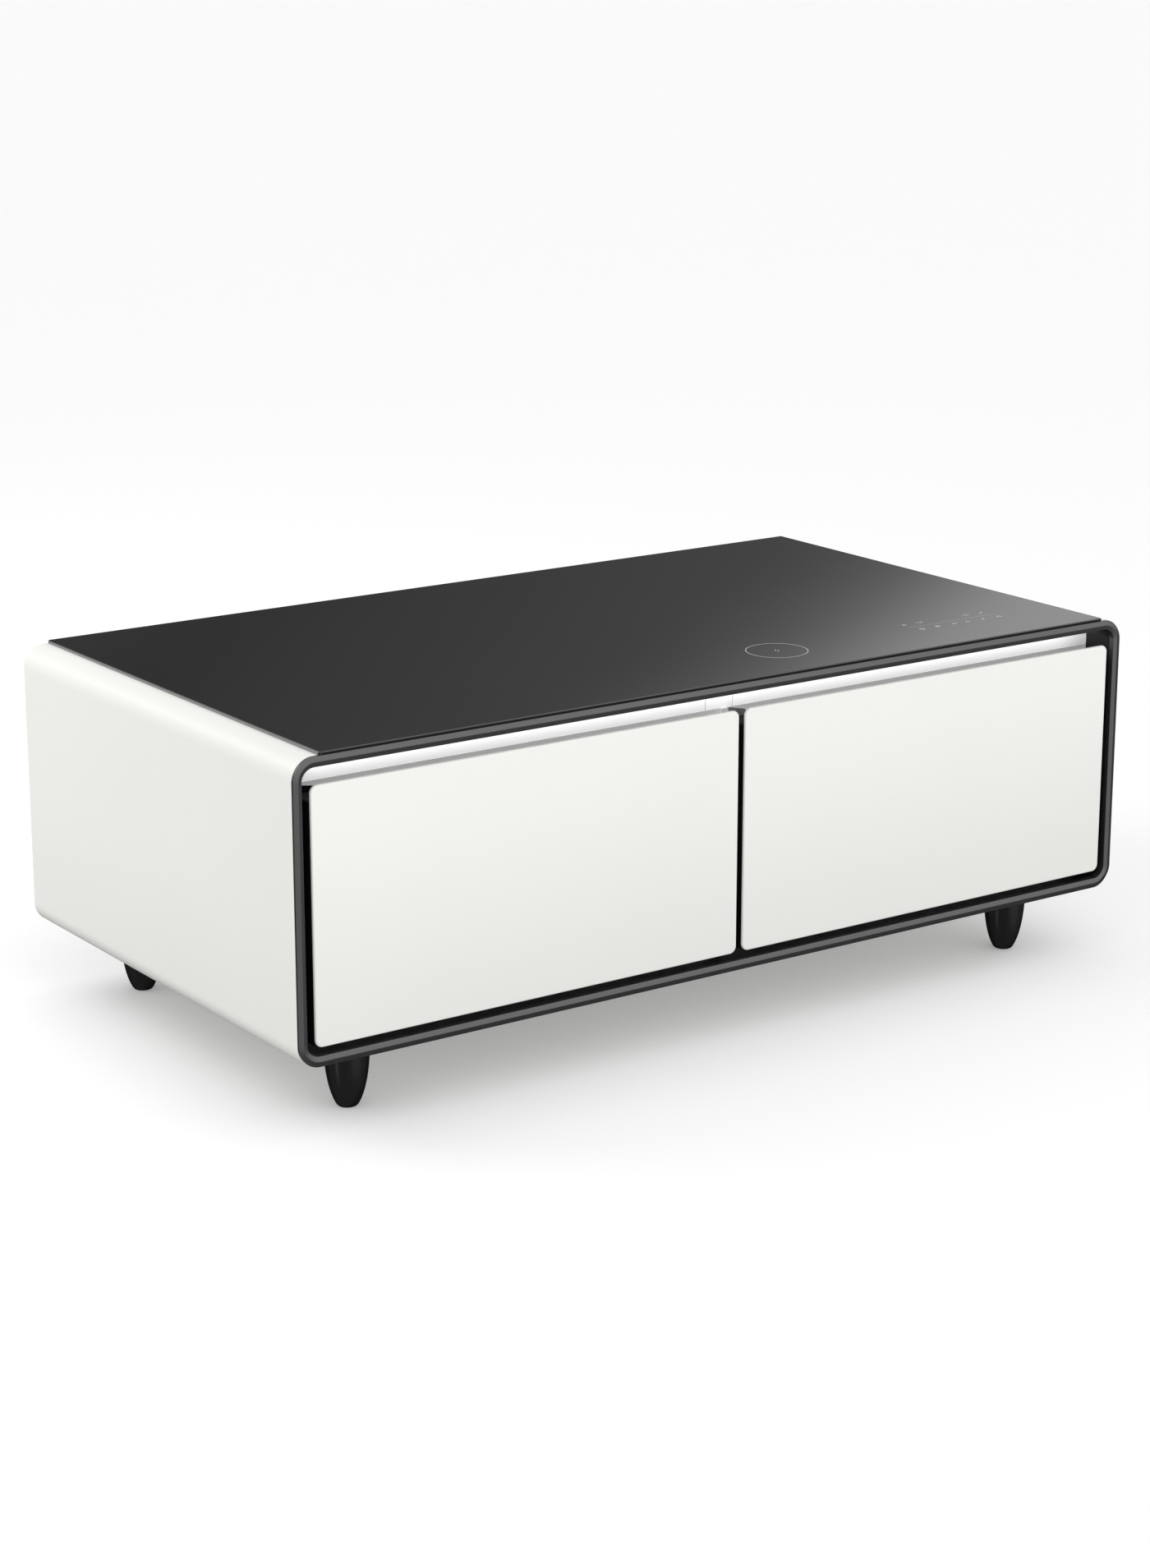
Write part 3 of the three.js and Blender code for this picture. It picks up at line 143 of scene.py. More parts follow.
front = towards_axis((0.15, -0.9, 0.4))
glow = reckon(tent, "ADD", ramp(tent, height, 0.0, 0.9, 0.88, 1.1), ramp(tent, front, 0.4, 0.95, 0.0, 0.25))
above = ramp(tent, height, -0.06, 0.02, 0.1, 1.0)
low = ramp(tent, height, -0.42, -0.2, 0.0, 1.0)
low_front = reckon(tent, "MULTIPLY", low, ramp(tent, front, 0.5, 0.75, 0.0, 1.0))
deep = ramp(tent, height, -0.64, -0.52, 0.0, 1.0)
from_west = reckon(tent, "ABSOLUTE", reckon(tent, "ADD", heading, radians(95)))
low_west = reckon(tent, "MULTIPLY", deep, ramp(tent, from_west, radians(3), radians(10), 0.8, 0.0))
low_right = reckon(tent, "MULTIPLY", deep, ramp(tent, towards_axis((0.33, -0.943, 0)), 0.68, 0.86, 0.0, 0.35))
for patch in (low_front, low_west, low_right):
    above = reckon(tent, "MAXIMUM", above, patch)
shaded = reckon(tent, "MULTIPLY", reckon(tent, "MULTIPLY", glow, behind), above)
seen = put(tent, "ShaderNodeLightPath").outputs["Is Camera Ray"]
strength = put(tent, "ShaderNodeMix", {"Factor": seen, "A": shaded, "B": 1.0}).outputs[0]
tent.links.new(strength, tent.nodes["Background"].inputs["Strength"])
tent.nodes["Background"].inputs["Color"].default_value = (1, 1, 1, 1)
bpy.context.scene.view_settings.view_transform = "Standard"

# %% [markdown]
# One large soft lamp stands high behind the left end. It lights the rounded upper edges, fades along the
# side of the table, and draws the shadow out towards the front.

# %% Rear lamp
lamp = bpy.data.objects.new("rear_lamp", bpy.data.lights.new("rear_lamp", "AREA"))
lamp.data.shape, lamp.data.size, lamp.data.size_y = "RECTANGLE", 1.8, 1.8
lamp.data.energy = 31.0
lamp.location = (-2.0, 1.7, 2.1)
aim = Vector((-0.3, 0.0, 0.3)) - lamp.location
lamp.rotation_euler = aim.to_track_quat("-Z", "Y").to_euler()
bpy.context.scene.collection.objects.link(lamp)

# %% [markdown]
# The floor is one pale matt sheet, large enough to run past the picture on all sides. Like a light table it
# glows a little from below, so the shadow under the table stays soft and grey. Reflections leave it out, so
# the black parts keep dark undersides, as they do over a black cloth.

# %% Floor
floor_reach = 90.0
floor_mesh = bpy.data.meshes.new("studio_floor")
floor_corners = floor_reach * np.array([[-1, -1, 0], [1, -1, 0], [1, 1, 0], [-1, 1, 0]])
floor_mesh.from_pydata(floor_corners.tolist(), [], [[0, 1, 2, 3]])
floor = bpy.data.objects.new("studio_floor", floor_mesh)
floor.visible_glossy = False
bpy.context.scene.collection.objects.link(floor)

paper = bpy.data.materials.new("pale_paper")
paper.use_nodes = True
paper_look = {"Base Color": (0.755, 0.755, 0.755, 1), "Roughness": 1.0, "Specular IOR Level": 0.0,
              "Emission Color": (1, 1, 1, 1), "Emission Strength": 0.188}
for key, value in paper_look.items():
    paper.node_tree.nodes["Principled BSDF"].inputs[key].default_value = value
floor_mesh.materials.append(paper)
print("floor:", 2 * floor_reach, "m across")

# %% [markdown]
# Two effects are shared by most finishes. A painted or moulded skin is never quite even: its colour and its
# gloss drift a little, and its surface has a fine texture, orange peel on paint or a grain on plastic. Worked
# metal shows fine lines along one direction. Each effect is one group of nodes with its own named values,
# built once and placed in each material.

# %% Shared effects
def new_group(name, inputs, outputs):
    """An empty node group. Inputs map a name to a starting value, outputs map a name to a socket type."""
    group = bpy.data.node_groups.new(name, "ShaderNodeTree")
    for key, value in inputs.items():
        kind = "NodeSocketColor" if isinstance(value, tuple) else "NodeSocketFloat"
        group.interface.new_socket(name=key, in_out="INPUT", socket_type=kind).default_value = value
    for key, kind in outputs.items():
        group.interface.new_socket(name=key, in_out="OUTPUT", socket_type=kind)
    return group, group.nodes.new("NodeGroupInput").outputs, group.nodes.new("NodeGroupOutput").inputs


def noise(tree, place, scale, detail):
    """Smooth noise over a place, with so many finer layers as detail says."""
    return put(tree, "ShaderNodeTexNoise", {"Vector": place, "Scale": scale, "Detail": detail}).outputs[0]


def uneven(tree, given, result, pattern, contrast, spread, relief, depth, distance):
    """Fills a group's outputs. The colour is scaled by 1 + contrast (pattern - 1/2), the gloss is raised by
    spread (pattern - 1/2), and the relief gives the normal. Contrast, spread and depth name inputs."""
    centred = reckon(tree, "SUBTRACT", pattern, 0.5)
    lightness = reckon(tree, "MULTIPLY_ADD", centred, given[contrast], 1.0)
    tree.links.new(toned(tree, given["Colour"], lightness), result["Colour"])
    tree.links.new(reckon(tree, "MULTIPLY_ADD", centred, given[spread], given["Gloss"]), result["Roughness"])
    bump = put(tree, "ShaderNodeBump", {"Height": relief, "Strength": given[depth], "Distance": distance})
    tree.links.new(bump.outputs[0], result["Normal"])


surface = {"Colour": "NodeSocketColor", "Roughness": "NodeSocketFloat", "Normal": "NodeSocketVector"}
skin_inputs = {"Colour": (0.8, 0.8, 0.8, 1), "Shade Drift": 0.04, "Drift Size": 3.0, "Gloss": 0.3,
               "Gloss Drift": 0.05, "Texture Size": 600.0, "Texture Depth": 0.1}
skin, given, result = new_group("uneven_skin", skin_inputs, surface)
place = put(skin, "ShaderNodeTexCoord").outputs["Object"]
drift = noise(skin, place, given["Drift Size"], 3.0)
grain = noise(skin, place, given["Texture Size"], 2.0)
uneven(skin, given, result, drift, "Shade Drift", "Gloss Drift", grain, "Texture Depth", 0.001)

line_inputs = {"Colour": (0.6, 0.6, 0.6, 1), "Line Contrast": 0.15, "Gloss": 0.3, "Gloss Spread": 0.12,
               "Along X": 1.0, "Along Y": 1.0, "Along Z": 1.0, "Line Depth": 0.1}
lined, given, result = new_group("worked_lines", line_inputs, surface)
place = put(lined, "ShaderNodeTexCoord").outputs["Object"]
fineness = put(lined, "ShaderNodeCombineXYZ", {0: given["Along X"], 1: given["Along Y"], 2: given["Along Z"]})
stretched = put(lined, "ShaderNodeVectorMath", {0: place, 1: fineness.outputs[0]}, operation="MULTIPLY")
streaks = noise(lined, stretched.outputs[0], 1.0, 4.0)
uneven(lined, given, result, streaks, "Line Contrast", "Gloss Spread", streaks, "Line Depth", 0.0005)
print("shared effects:", skin.name, lined.name)

# %% [markdown]
# Each finish is one material: a group gives the colour, the gloss and the fine surface, and the shader's own
# sockets hold what is the same all over, such as how metallic it is and how strongly it mirrors.

# %% Finishes
def finish(name, group, values, **fixed):
    """A material whose colour, roughness and normal come from a shared group, with fixed shader sockets."""
    material = bpy.data.materials.new(name)
    material.use_nodes = True
    tree = material.node_tree
    shader = tree.nodes["Principled BSDF"]
    effect = tree.nodes.new("ShaderNodeGroup")
    effect.node_tree = group
    for key, value in values.items():
        effect.inputs[key].default_value = value
    for output, socket in {"Colour": "Base Color", "Roughness": "Roughness", "Normal": "Normal"}.items():
        tree.links.new(effect.outputs[output], shader.inputs[socket])
    for key, value in fixed.items():
        shader.inputs[key.replace("_", " ")].default_value = value
    return material


def skin_finish(name, tint, gloss, texture_size, texture_depth, shade=0.03, spread=0.04, **fixed):
    """A painted or moulded finish."""
    values = {"Colour": (*tint, 1), "Gloss": gloss, "Texture Size": texture_size,
              "Texture Depth": texture_depth, "Shade Drift": shade, "Gloss Drift": spread}
    return finish(name, skin, values, **fixed)


def metal_finish(name, tint, gloss, along, contrast=0.15, depth=0.08):
    """A bare metal with fine lines: along gives the fineness of the lines across X, Y and Z."""
    values = {"Colour": (*tint, 1), "Gloss": gloss, "Line Contrast": contrast, "Line Depth": depth,
              "Along X": along[0], "Along Y": along[1], "Along Z": along[2]}
    return finish(name, lined, values, Metallic=1.0)


enamel = (0.76, 0.766, 0.731)
finishes = {
    "white_painted_steel": skin_finish("white_enamel", enamel, 0.42, 900, 0.05),
    "white_front": skin_finish("white_lacquer", (0.82, 0.826, 0.79), 0.3, 500, 0.03),
    "white_gloss_plastic": skin_finish("white_moulding", (0.93, 0.933, 0.93), 0.16, 250, 0.03),
    "black_trim": skin_finish("satin_black_trim", (0.016, 0.0165, 0.018), 0.33, 1500, 0.08, IOR=1.8,
                              Specular_IOR_Level=0.75),
    "black_plastic": skin_finish("grained_black_plastic", (0.011, 0.011, 0.012), 0.34, 2200, 0.25,
                                 Specular_IOR_Level=0.32),
    "leg_black": skin_finish("satin_black_leg", (0.01, 0.01, 0.011), 0.2, 900, 0.05),
    "dark_glass": skin_finish("dark_glass", (0.012, 0.012, 0.0125), 0.08, 60, 0.005, 0.0, 0.02, IOR=1.5),
    "gasket_rubber": skin_finish("soft_gasket", (0.055, 0.055, 0.057), 0.62, 3000, 0.2),
    "bin_plastic": skin_finish("pale_bin_moulding", (0.79, 0.83, 0.85), 0.2, 300, 0.04),
    "zinc_steel": metal_finish("zinc_plate", (0.62, 0.63, 0.64), 0.32, (700, 12, 700)),
    "black_painted_steel": skin_finish("black_powder_coat", (0.018, 0.018, 0.019), 0.48, 1400, 0.35),
    "aluminium_fins": metal_finish("rolled_aluminium", (0.78, 0.79, 0.8), 0.34, (300, 300, 20)),
    "copper": metal_finish("drawn_copper", (0.78, 0.42, 0.28), 0.26, (90, 90, 90), 0.2),
    "circuit_board": skin_finish("board_lacquer", (0.02, 0.13, 0.06), 0.3, 800, 0.2),
    "insulation": skin_finish("rigid_foam", (0.78, 0.68, 0.42), 0.85, 350, 0.6, 0.12),
}

# %% [markdown]
# Some finishes carry painted light and shade that change with height. The lacquer of the fronts is darkened
# towards its lower edge as painted shade, and the enamel of the sleeve is darkened the same way, most at its
# lower rounding. The white strips above the drawers glow as painted light, most at the top and less towards
# their outer ends, so a copy of the white moulding glows there. Some of that painted light spills onto the
# band below the strips, which belongs to the tubs behind the doors, so a second copy glows faintly.

# %% Painted light and shade that change with height
def place_in_table(tree):
    """The place of a point of the table, in metres, as outputs X, Y and Z."""
    return put(tree, "ShaderNodeSeparateXYZ", {0: put(tree, "ShaderNodeTexCoord").outputs["Object"]}).outputs


def shade_by(tree, share, tint):
    """Hands the group a tint scaled by a share between 0 and 1."""
    effect = next(node for node in tree.nodes if node.bl_idname == "ShaderNodeGroup")
    tree.links.new(toned(tree, tint, share), effect.inputs["Colour"])


def painted_glow_copy(name, level_at):
    """A copy of the white moulding that glows with painted light, by the level worked out from the place in
    the table.
    """
    material = finishes["white_gloss_plastic"].copy()
    material.name = name
    tree = material.node_tree
    level = level_at(tree, place_in_table(tree))
    tint = put(tree, "ShaderNodeCombineColor", {0: level, 1: level, 2: level}).outputs[0]
    tree.links.new(tint, tree.nodes["Principled BSDF"].inputs["Emission Color"])
    tree.nodes["Principled BSDF"].inputs["Emission Strength"].default_value = 1.0
    return material


def painted_strip_light(tree, place):
    """Painted light: most at the top of the strips, about half as much at the bottom and at the outer ends.
    """
    near_end = ramp(tree, reckon(tree, "ABSOLUTE", place["X"]), 0.58, 0.637, 1.0, 0.55)
    return reckon(tree, "MULTIPLY", near_end, ramp(tree, place["Z"], 0.425, 0.450, 0.46, 0.9))


def painted_spill_light(tree, place):
    """Faint painted light on the band above the doors, which fades upwards, and none below it."""
    on_band = reckon(tree, "GREATER_THAN", place["Z"], 0.41)
    return reckon(tree, "MULTIPLY", on_band, ramp(tree, place["Z"], 0.413, 0.4275, 0.22, 0.1))


# Painted shade: the lacquer of the fronts darkens towards their lower edge.
tree = finishes["white_front"].node_tree
shade_by(tree, ramp(tree, place_in_table(tree)["Z"], 0.1, 0.44, 0.885, 1.0), (0.852, 0.857, 0.826))
# Painted shade: the enamel darkens towards the lower part of the sleeve, most at its lower rounding.
tree = finishes["white_painted_steel"].node_tree
rise = place_in_table(tree)["Z"]
painted_underside_shade = ramp(tree, rise, 0.092, 0.122, 0.74, 1.0)
share = reckon(tree, "MULTIPLY", ramp(tree, rise, 0.11, 0.3, 0.965, 1.0), painted_underside_shade)
shade_by(tree, share, enamel)
# Painted light: the strips above the drawers and the band below them glow, though neither is a lamp.
painted_glow = painted_glow_copy("painted_glow_white_strip", painted_strip_light)
painted_spill = painted_glow_copy("white_moulding_painted_spill", painted_spill_light)
for part in frame["record"]["subparts"]:
    nodes[part["node"]].material_slots[0].material = finishes[part["material_slot"]]
print("finishes:", len(finishes))

# %% [markdown]
# Shapes are worked out in millimetres as whole arrays of points. The first helper joins a net of points into
# faces: each square takes a point, its neighbour along the row, and the two above them. The second closes
# such a net with flat ends. The third turns the arrays into a mesh, turns the faces round if its volume comes
# out negative, and sets every edge sharper than a given angle as a crease. The last one moves the points of
# a finished piece.

# %% Helpers for meshes
def net(rows, columns, rows_close=False, columns_close=True):
    """Squares of a net of points: rows times columns, closed on itself where asked."""
    row = np.arange(rows if rows_close else rows - 1)[:, None]
    column = np.arange(columns if columns_close else columns - 1)[None, :]
    up, over = (row + 1) % rows, (column + 1) % columns
    corners = [row * columns + column, row * columns + over, up * columns + over, up * columns + column]
    return np.stack(corners, -1).reshape(-1, 4)


def tube(rows, columns):
    """The faces of a stack of closed loops with a flat face at each end."""
    loop = np.arange(columns)
    return net(rows, columns).tolist() + [loop[::-1].tolist(), (loop + (rows - 1) * columns).tolist()]


def piece(name, points, faces, slot, body="cabinet", replaces=(), crease=40, material=None):
    """A finished piece from points in millimetres and faces, which are lists of indices into the points."""
    mesh = bpy.data.meshes.new(name)
    mesh.from_pydata((np.asarray(points, float).reshape(-1, 3) / 1000).tolist(), [], faces)
    shape = bmesh.new()
    shape.from_mesh(mesh)
    volume = shape.calc_volume(signed=True)
    shape.free()
    if volume < 0:
        mesh.flip_normals()
    mesh.shade_smooth()
    mesh.set_sharp_from_angle(angle=radians(crease))
    mesh.materials.append(material or finishes[slot])
    made = bpy.data.objects.new(name, mesh)
    bpy.context.scene.collection.objects.link(made)
    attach(made, body)
    if replaces:
        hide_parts(*replaces)
    print(f"{name}: {len(mesh.polygons)} faces, {abs(volume) * 1e6:.1f} cubic centimetres")
    return made


def reshaped(made, change):
    """Moves the points of a piece: change is handed all places in metres, one row each, and edits them."""
    places = np.empty((len(made.data.vertices), 3))
    made.data.vertices.foreach_get("co", places.ravel())
    change(places)
    made.data.vertices.foreach_set("co", places.ravel())


# %% [markdown]
# Real edges are never perfectly sharp, and a narrow rounding is what catches the light. This helper eases
# the corners of a drawn line: each corner becomes a short curve that starts one radius before it and ends
# one radius after it. One more point on each side keeps the shading of the flat faces flat.

# %% Eased corners
def eased(corners, radii, steps=5, closed=True):
    """A line with eased corners. Each is a quadratic curve: (1-t)^2 start + 2t(1-t) corner + t^2 end."""
    corners = np.asarray(corners, float)
    radii = np.broadcast_to(np.asarray(radii, float), len(corners))
    inner = corners if closed else corners[1:-1]
    before = np.roll(corners, 1, 0) - corners
    after = np.roll(corners, -1, 0) - corners
    before /= np.linalg.norm(before, axis=1, keepdims=True)
    after /= np.linalg.norm(after, axis=1, keepdims=True)
    if not closed:
        before, after, radii = before[1:-1], after[1:-1], radii[1:-1]
    t = np.linspace(0, 1, steps + 1)[:, None, None]
    start, end = inner + before * radii[:, None], inner + after * radii[:, None]
    curve = (1 - t) ** 2 * start + 2 * t * (1 - t) * inner + t ** 2 * end
    lead = 0.4 * radii[:, None]
    path = np.concatenate([(start + before * lead)[None], curve, (end + after * lead)[None]])
    path = path.transpose(1, 0, 2).reshape(-1, corners.shape[1])
    return path if closed else np.concatenate([corners[:1], path, corners[-1:]])


# %% [markdown]
# Most of this table is made of rounded rectangles: the sleeve, the frame round the drawers, the fronts, the
# glass, the bins. One function draws such outlines for a whole stack of levels at once, and the stack is
# then skinned. A stack that closes on itself is a ring, and one with flat ends is a slab or a tub.

# %% Stacks of rounded rectangles
def outlines(left, right, bottom, top, radii, steps=12):
    """Rounded rectangles, one row each. A corner is its centre plus its radius times (cosine, sine) over a
    quarter turn, with a point before and after it on the straight sides. Corners run anticlockwise from the
    lower right. Radii has one column per corner, or one for all."""
    left, right, bottom, top = (np.asarray(v, float).reshape(-1, 1, 1) for v in (left, right, bottom, top))
    radii = np.maximum(np.atleast_2d(np.asarray(radii, float)), 0.02)[:, :, None]
    turn = np.linspace(0, pi / 2, steps + 1)
    turn = np.concatenate([turn[:1], turn, turn[-1:]])[None, None, :]
    lead = np.zeros_like(turn)
    lead[..., 0], lead[..., -1] = -1, 1
    angle = np.array([-pi / 2, 0, pi / 2, pi]).reshape(1, 4, 1) + turn
    lead = lead * np.minimum(0.3 * radii, 2.0)
    on_right = np.array([1, 1, 0, 0]).reshape(1, 4, 1)
    on_top = np.array([0, 1, 1, 0]).reshape(1, 4, 1)
    centre_u = on_right * (right - radii) + (1 - on_right) * (left + radii)
    centre_v = on_top * (top - radii) + (1 - on_top) * (bottom + radii)
    u = centre_u + radii * np.cos(angle) - lead * np.sin(angle)
    v = centre_v + radii * np.sin(angle) + lead * np.cos(angle)
    return np.stack([u.reshape(len(u), -1), v.reshape(len(v), -1)], -1)


def stacked(loops, levels, plane="upright"):
    """Gives a stack of flat outlines its levels. Upright outlines lie in X-Z, flat ones in X-Y."""
    levels = np.broadcast_to(np.asarray(levels, float).reshape(-1, 1), loops.shape[:2])
    first, second = loops[..., 0], loops[..., 1]
    return np.stack((first, levels, second) if plane == "upright" else (first, second, levels), -1)


def skinned(name, points, slot, ring=False, **more):
    """A piece from a stack of loops: a closed ring, or a body with flat ends."""
    rows, columns = points.shape[:2]
    faces = net(rows, columns, rows_close=True).tolist() if ring else tube(rows, columns)
    return piece(name, points, faces, slot, **more)


def moulded(name, box, radius, profile, slot, plane="upright", ring=False, steps=12, **more):
    """A profile of (inset, level) points carried round a box, which is left, right, bottom and top."""
    inset, level = np.asarray(profile, float).T
    left, right, bottom, top = box
    radii = (radius - inset)[:, None]
    loops = outlines(left + inset, right - inset, bottom + inset, top - inset, radii, steps)
    return skinned(name, stacked(loops, level, plane), slot, ring, **more)


# %% [markdown]
# The sleeve is one sheet of white painted steel, bent round the whole table in four wide corners and open at
# the front and back, with eased edges. It is a profile carried round the outline. A window in its top makes
# room for the parts under the glass: one square of the outer face and one of the inner face are left out, and
# four new faces join their edges.

# %% Sleeve
half_width, front_y, rear_y = 650.0, -350.0, 350.0
body_bottom, body_top, corner_radius = 92.0, 471.7, 29.0
sleeve_bottom, sleeve_corner_steps = 91.3, 28
body_box = (-half_width, half_width, body_bottom, body_top)
sheet, sleeve_front = 2.5, -344.9
window_x, window_y = 560.0, 280.0

edge = eased([(0, sleeve_front), (0, rear_y), (sheet, rear_y), (sheet, sleeve_front)], (0.8, 0.7, 0.7, 0.5))
part_size = len(edge) // 4
window_line = [(0, -window_y), (0, window_y), (sheet, window_y), (sheet, -window_y)]
edge = np.insert(edge, [part_size, part_size, 3 * part_size, 3 * part_size], window_line, axis=0)
inset = edge[:, :1]
loops = outlines(-half_width + inset, half_width - inset, sleeve_bottom + inset, body_top - inset,
                 corner_radius - inset, sleeve_corner_steps)
corner_size = loops.shape[1] // 4
top_line = np.stack([np.repeat([[window_x, -window_x]], len(edge), 0), (body_top - inset) * np.ones(2)], -1)
loops = np.concatenate([loops[:, :2 * corner_size], top_line, loops[:, 2 * corner_size:]], 1)
rows, columns = loops.shape[:2]
sides = net(rows, columns, rows_close=True)
outer_hole, inner_hole = np.array([part_size, 3 * part_size + 2]) * columns + 2 * corner_size
sides = np.delete(sides, [outer_hole, inner_hole], axis=0)
a, b, c, d = outer_hole + np.array([0, 1, columns + 1, columns])
e, f, g, h = inner_hole + np.array([columns, columns + 1, 1, 0])
window_sides = [[a, b, f, e], [b, c, g, f], [c, d, h, g], [d, a, e, h]]
piece("steel_sleeve", stacked(loops, edge[:, 1]), sides.tolist() + window_sides, "white_painted_steel",
      replaces=["outer_shell"])

# %% [markdown]
# The trim is a black moulding that frames the front. Two long faces slope back from a ridge along its middle,
# so one catches the light and the other stays dark. The bezel is the black lining of the opening behind it.
# A thin matt black ring fills the gap between the sleeve and the trim, as painted shade for the shadow in
# that gap. All three are profiles carried round the same outline as the sleeve.

# %% Trim and bezel
rim, ridge, face, room_inset = 0.15, 6.3, 12.1, 2.8
rim_back, trim_back, bezel_front, bezel_back = -346.5, -341.0, -340.7, -294.0
trim_line = [(rim, rim_back), (rim, -348.25), (ridge, front_y), (face, -348.52), (face, trim_back),
             (room_inset, trim_back), (room_inset, rim_back)]
trim_edge = eased(trim_line, (0.25, 0.45, 0.7, 0.6, 0.25, 0.25, 0.25))
shift_at = [92.0, 104.1, 135.0, 430.0, 459.6, 471.7]
shift_by = [0.6, 2.0, 0.0, 0.0, -1.1, 0.0]


def frame_ring(name, profile, slot, **more):
    """A ring round the opening. Its two level bars are a little taller than the uprights are wide, so heights
    are shifted towards the opening, by amounts drawn between a few levels."""
    def shift(places):
        places[:, 2] += np.interp(places[:, 2] * 1000, shift_at, shift_by) / 1000

    reshaped(moulded(name, body_box, corner_radius, profile, slot, ring=True, steps=24, **more), shift)


frame_ring("ridged_trim", trim_edge, "black_trim", replaces=["front_trim"])
bezel_line = [(room_inset, bezel_front), (face, bezel_front), (face, bezel_back), (room_inset, bezel_back)]
frame_ring("opening_bezel", eased(bezel_line, 0.4), "black_plastic", replaces=["front_bezel"])
matt_black = skin_finish("matt_black_door", (0.008, 0.008, 0.0085), 0.7, 2500, 0.2, Specular_IOR_Level=0.1)
# Painted shade: a matt black ring stands in for the shadow in the gap between sleeve and trim.
shade_ring_line = [(0.35, -346.45), (0.35, -344.95), (2.4, -344.95), (2.4, -346.45)]
frame_ring("trim_shade_ring", shade_ring_line, "black_trim", material=matt_black)

# %% [markdown]
# The top is a sheet of dark glass that lies on the sleeve. Its ground edge is a narrow slanted face between
# two small roundings. Along the front the lower half of the edge is matt black: painted shade, for the shadow
# of the gap between the glass and the trim. At the two ends the whole edge is painted paler grey: a painted
# reflection of the white sleeve below. The sheet is a slab: a profile carried round the outline, closed by a
# flat face at each end.

# %% Glass top
glass_box = (-614.5, 614.5, -349.3, 349.4)
glass_top, ground_top, shade_edge_top, glass_bottom, glass_corner = 475.95, 475.0, 474.1, 472.0, 3.0
glass_edge = eased([(4, glass_bottom), (0, glass_bottom), (0, ground_top), (0.95, glass_top), (4, glass_top)],
                   (0, 0.3, 0.1, 0.1, 0), closed=False)
moulded("glass_sheet", glass_box, glass_corner, glass_edge, "dark_glass", "flat", steps=6,
        replaces=["glass_top"])
ground_glass = skin_finish("ground_glass", (0.1, 0.1, 0.102), 0.5, 2000, 0.1)
ground_band = [(0.0, ground_top - 0.1), (0.44, ground_top + 0.5), (1.1, glass_top + 0.01), (0.8, ground_top)]
moulded("ground_edge", glass_box, glass_corner, ground_band, "dark_glass", "flat", ring=True, steps=6,
        material=ground_glass)
# Painted shade: a matt black band on the lower half of the front edge stands in for the shadow of the gap
# above the trim.
shade_edge_box = (glass_box[0] + glass_corner, glass_box[1] - glass_corner, glass_bottom + 0.05, shade_edge_top)
moulded("painted_shade_edge", shade_edge_box, 0.3, [(0, -349.0), (0, -349.34)], "dark_glass", steps=3,
        material=matt_black)
# Painted reflection: the ends of the glass edge are paler grey, for the white sleeve they mirror.
painted_reflection_glass = skin_finish("painted_reflection_glass", (0.22, 0.22, 0.22), 0.5, 2000, 0.1)
for side, (start, end) in {"left": (-614.54, -614.2), "right": (614.2, 614.54)}.items():
    moulded(f"painted_reflection_end_{side}", (start, end, glass_box[2] + glass_corner, glass_box[3] - glass_corner), 0.1,
            [(0, glass_bottom + 0.05), (0, ground_top - 0.05)], "dark_glass", "flat", steps=3,
            material=painted_reflection_glass)

# %% [markdown]
# Each drawer front is a lacquered white panel with rounded corners and a soft front edge. Behind it sits the
# black foamed door. The panel stands above the door, and fingers reach in behind its top edge to pull.

# %% Drawer fronts and doors
def slab_edge(back, front, back_round, front_round, steps, flat=2):
    """The profile of a flat slab: its edge runs between two levels and is rounded at both."""
    line = [(flat, back), (0, back), (0, front), (flat, front)]
    return eased(line, (0, back_round, front_round, 0), steps, closed=False)


hands = {"left": -1, "right": 1}
panel_box = {"left": (-625.8, -2.9, 116.1, 436.6), "right": (7.1, 628.3, 116.1, 436.6)}
panel_edge = eased([(8, -347.3), (0, -347.3), (0, -343.3), (4, -343.3)], (0, 2.5, 0.4, 0), 8, closed=False)
door_edge = slab_edge(-343.0, -303.0, 0.8, 2.0, 6, 9)
panel_corner, door_corner, door_inset, door_top = 9.8, 2.5, 0.8, 415.8
for hand, box in panel_box.items():
    left, right, bottom, _ = box
    moulded(f"front_panel_{hand}", box, panel_corner, panel_edge, "white_front", body=f"drawer_{hand}",
            replaces=[f"drawer_front_{hand}"])
    door_box = (left + door_inset, right - door_inset, bottom + door_inset, door_top)
    moulded(f"door_body_{hand}", door_box, door_corner, door_edge, "black_plastic", body=f"drawer_{hand}",
            replaces=[f"door_core_{hand}"], material=matt_black)

# %% [markdown]
# White strips close the space above the drawers. Each is hollowed forward at the top like a cove, so light
# rolls off it. A strip is a section run along the table. At its outer end the corner of the opening cuts it:
# the section's height is held below a quarter circle there, and the cove runs out into a flat face.

# %% Recess strips
strip_bottom, strip_top, strip_face, strip_back, cove = 427.7, 458.3, -296.0, -294.0, 10.0
end_x, end_radius, runout, ease_depth, ease_length = 637.6, 16.6, 26, 0.3, 0.4


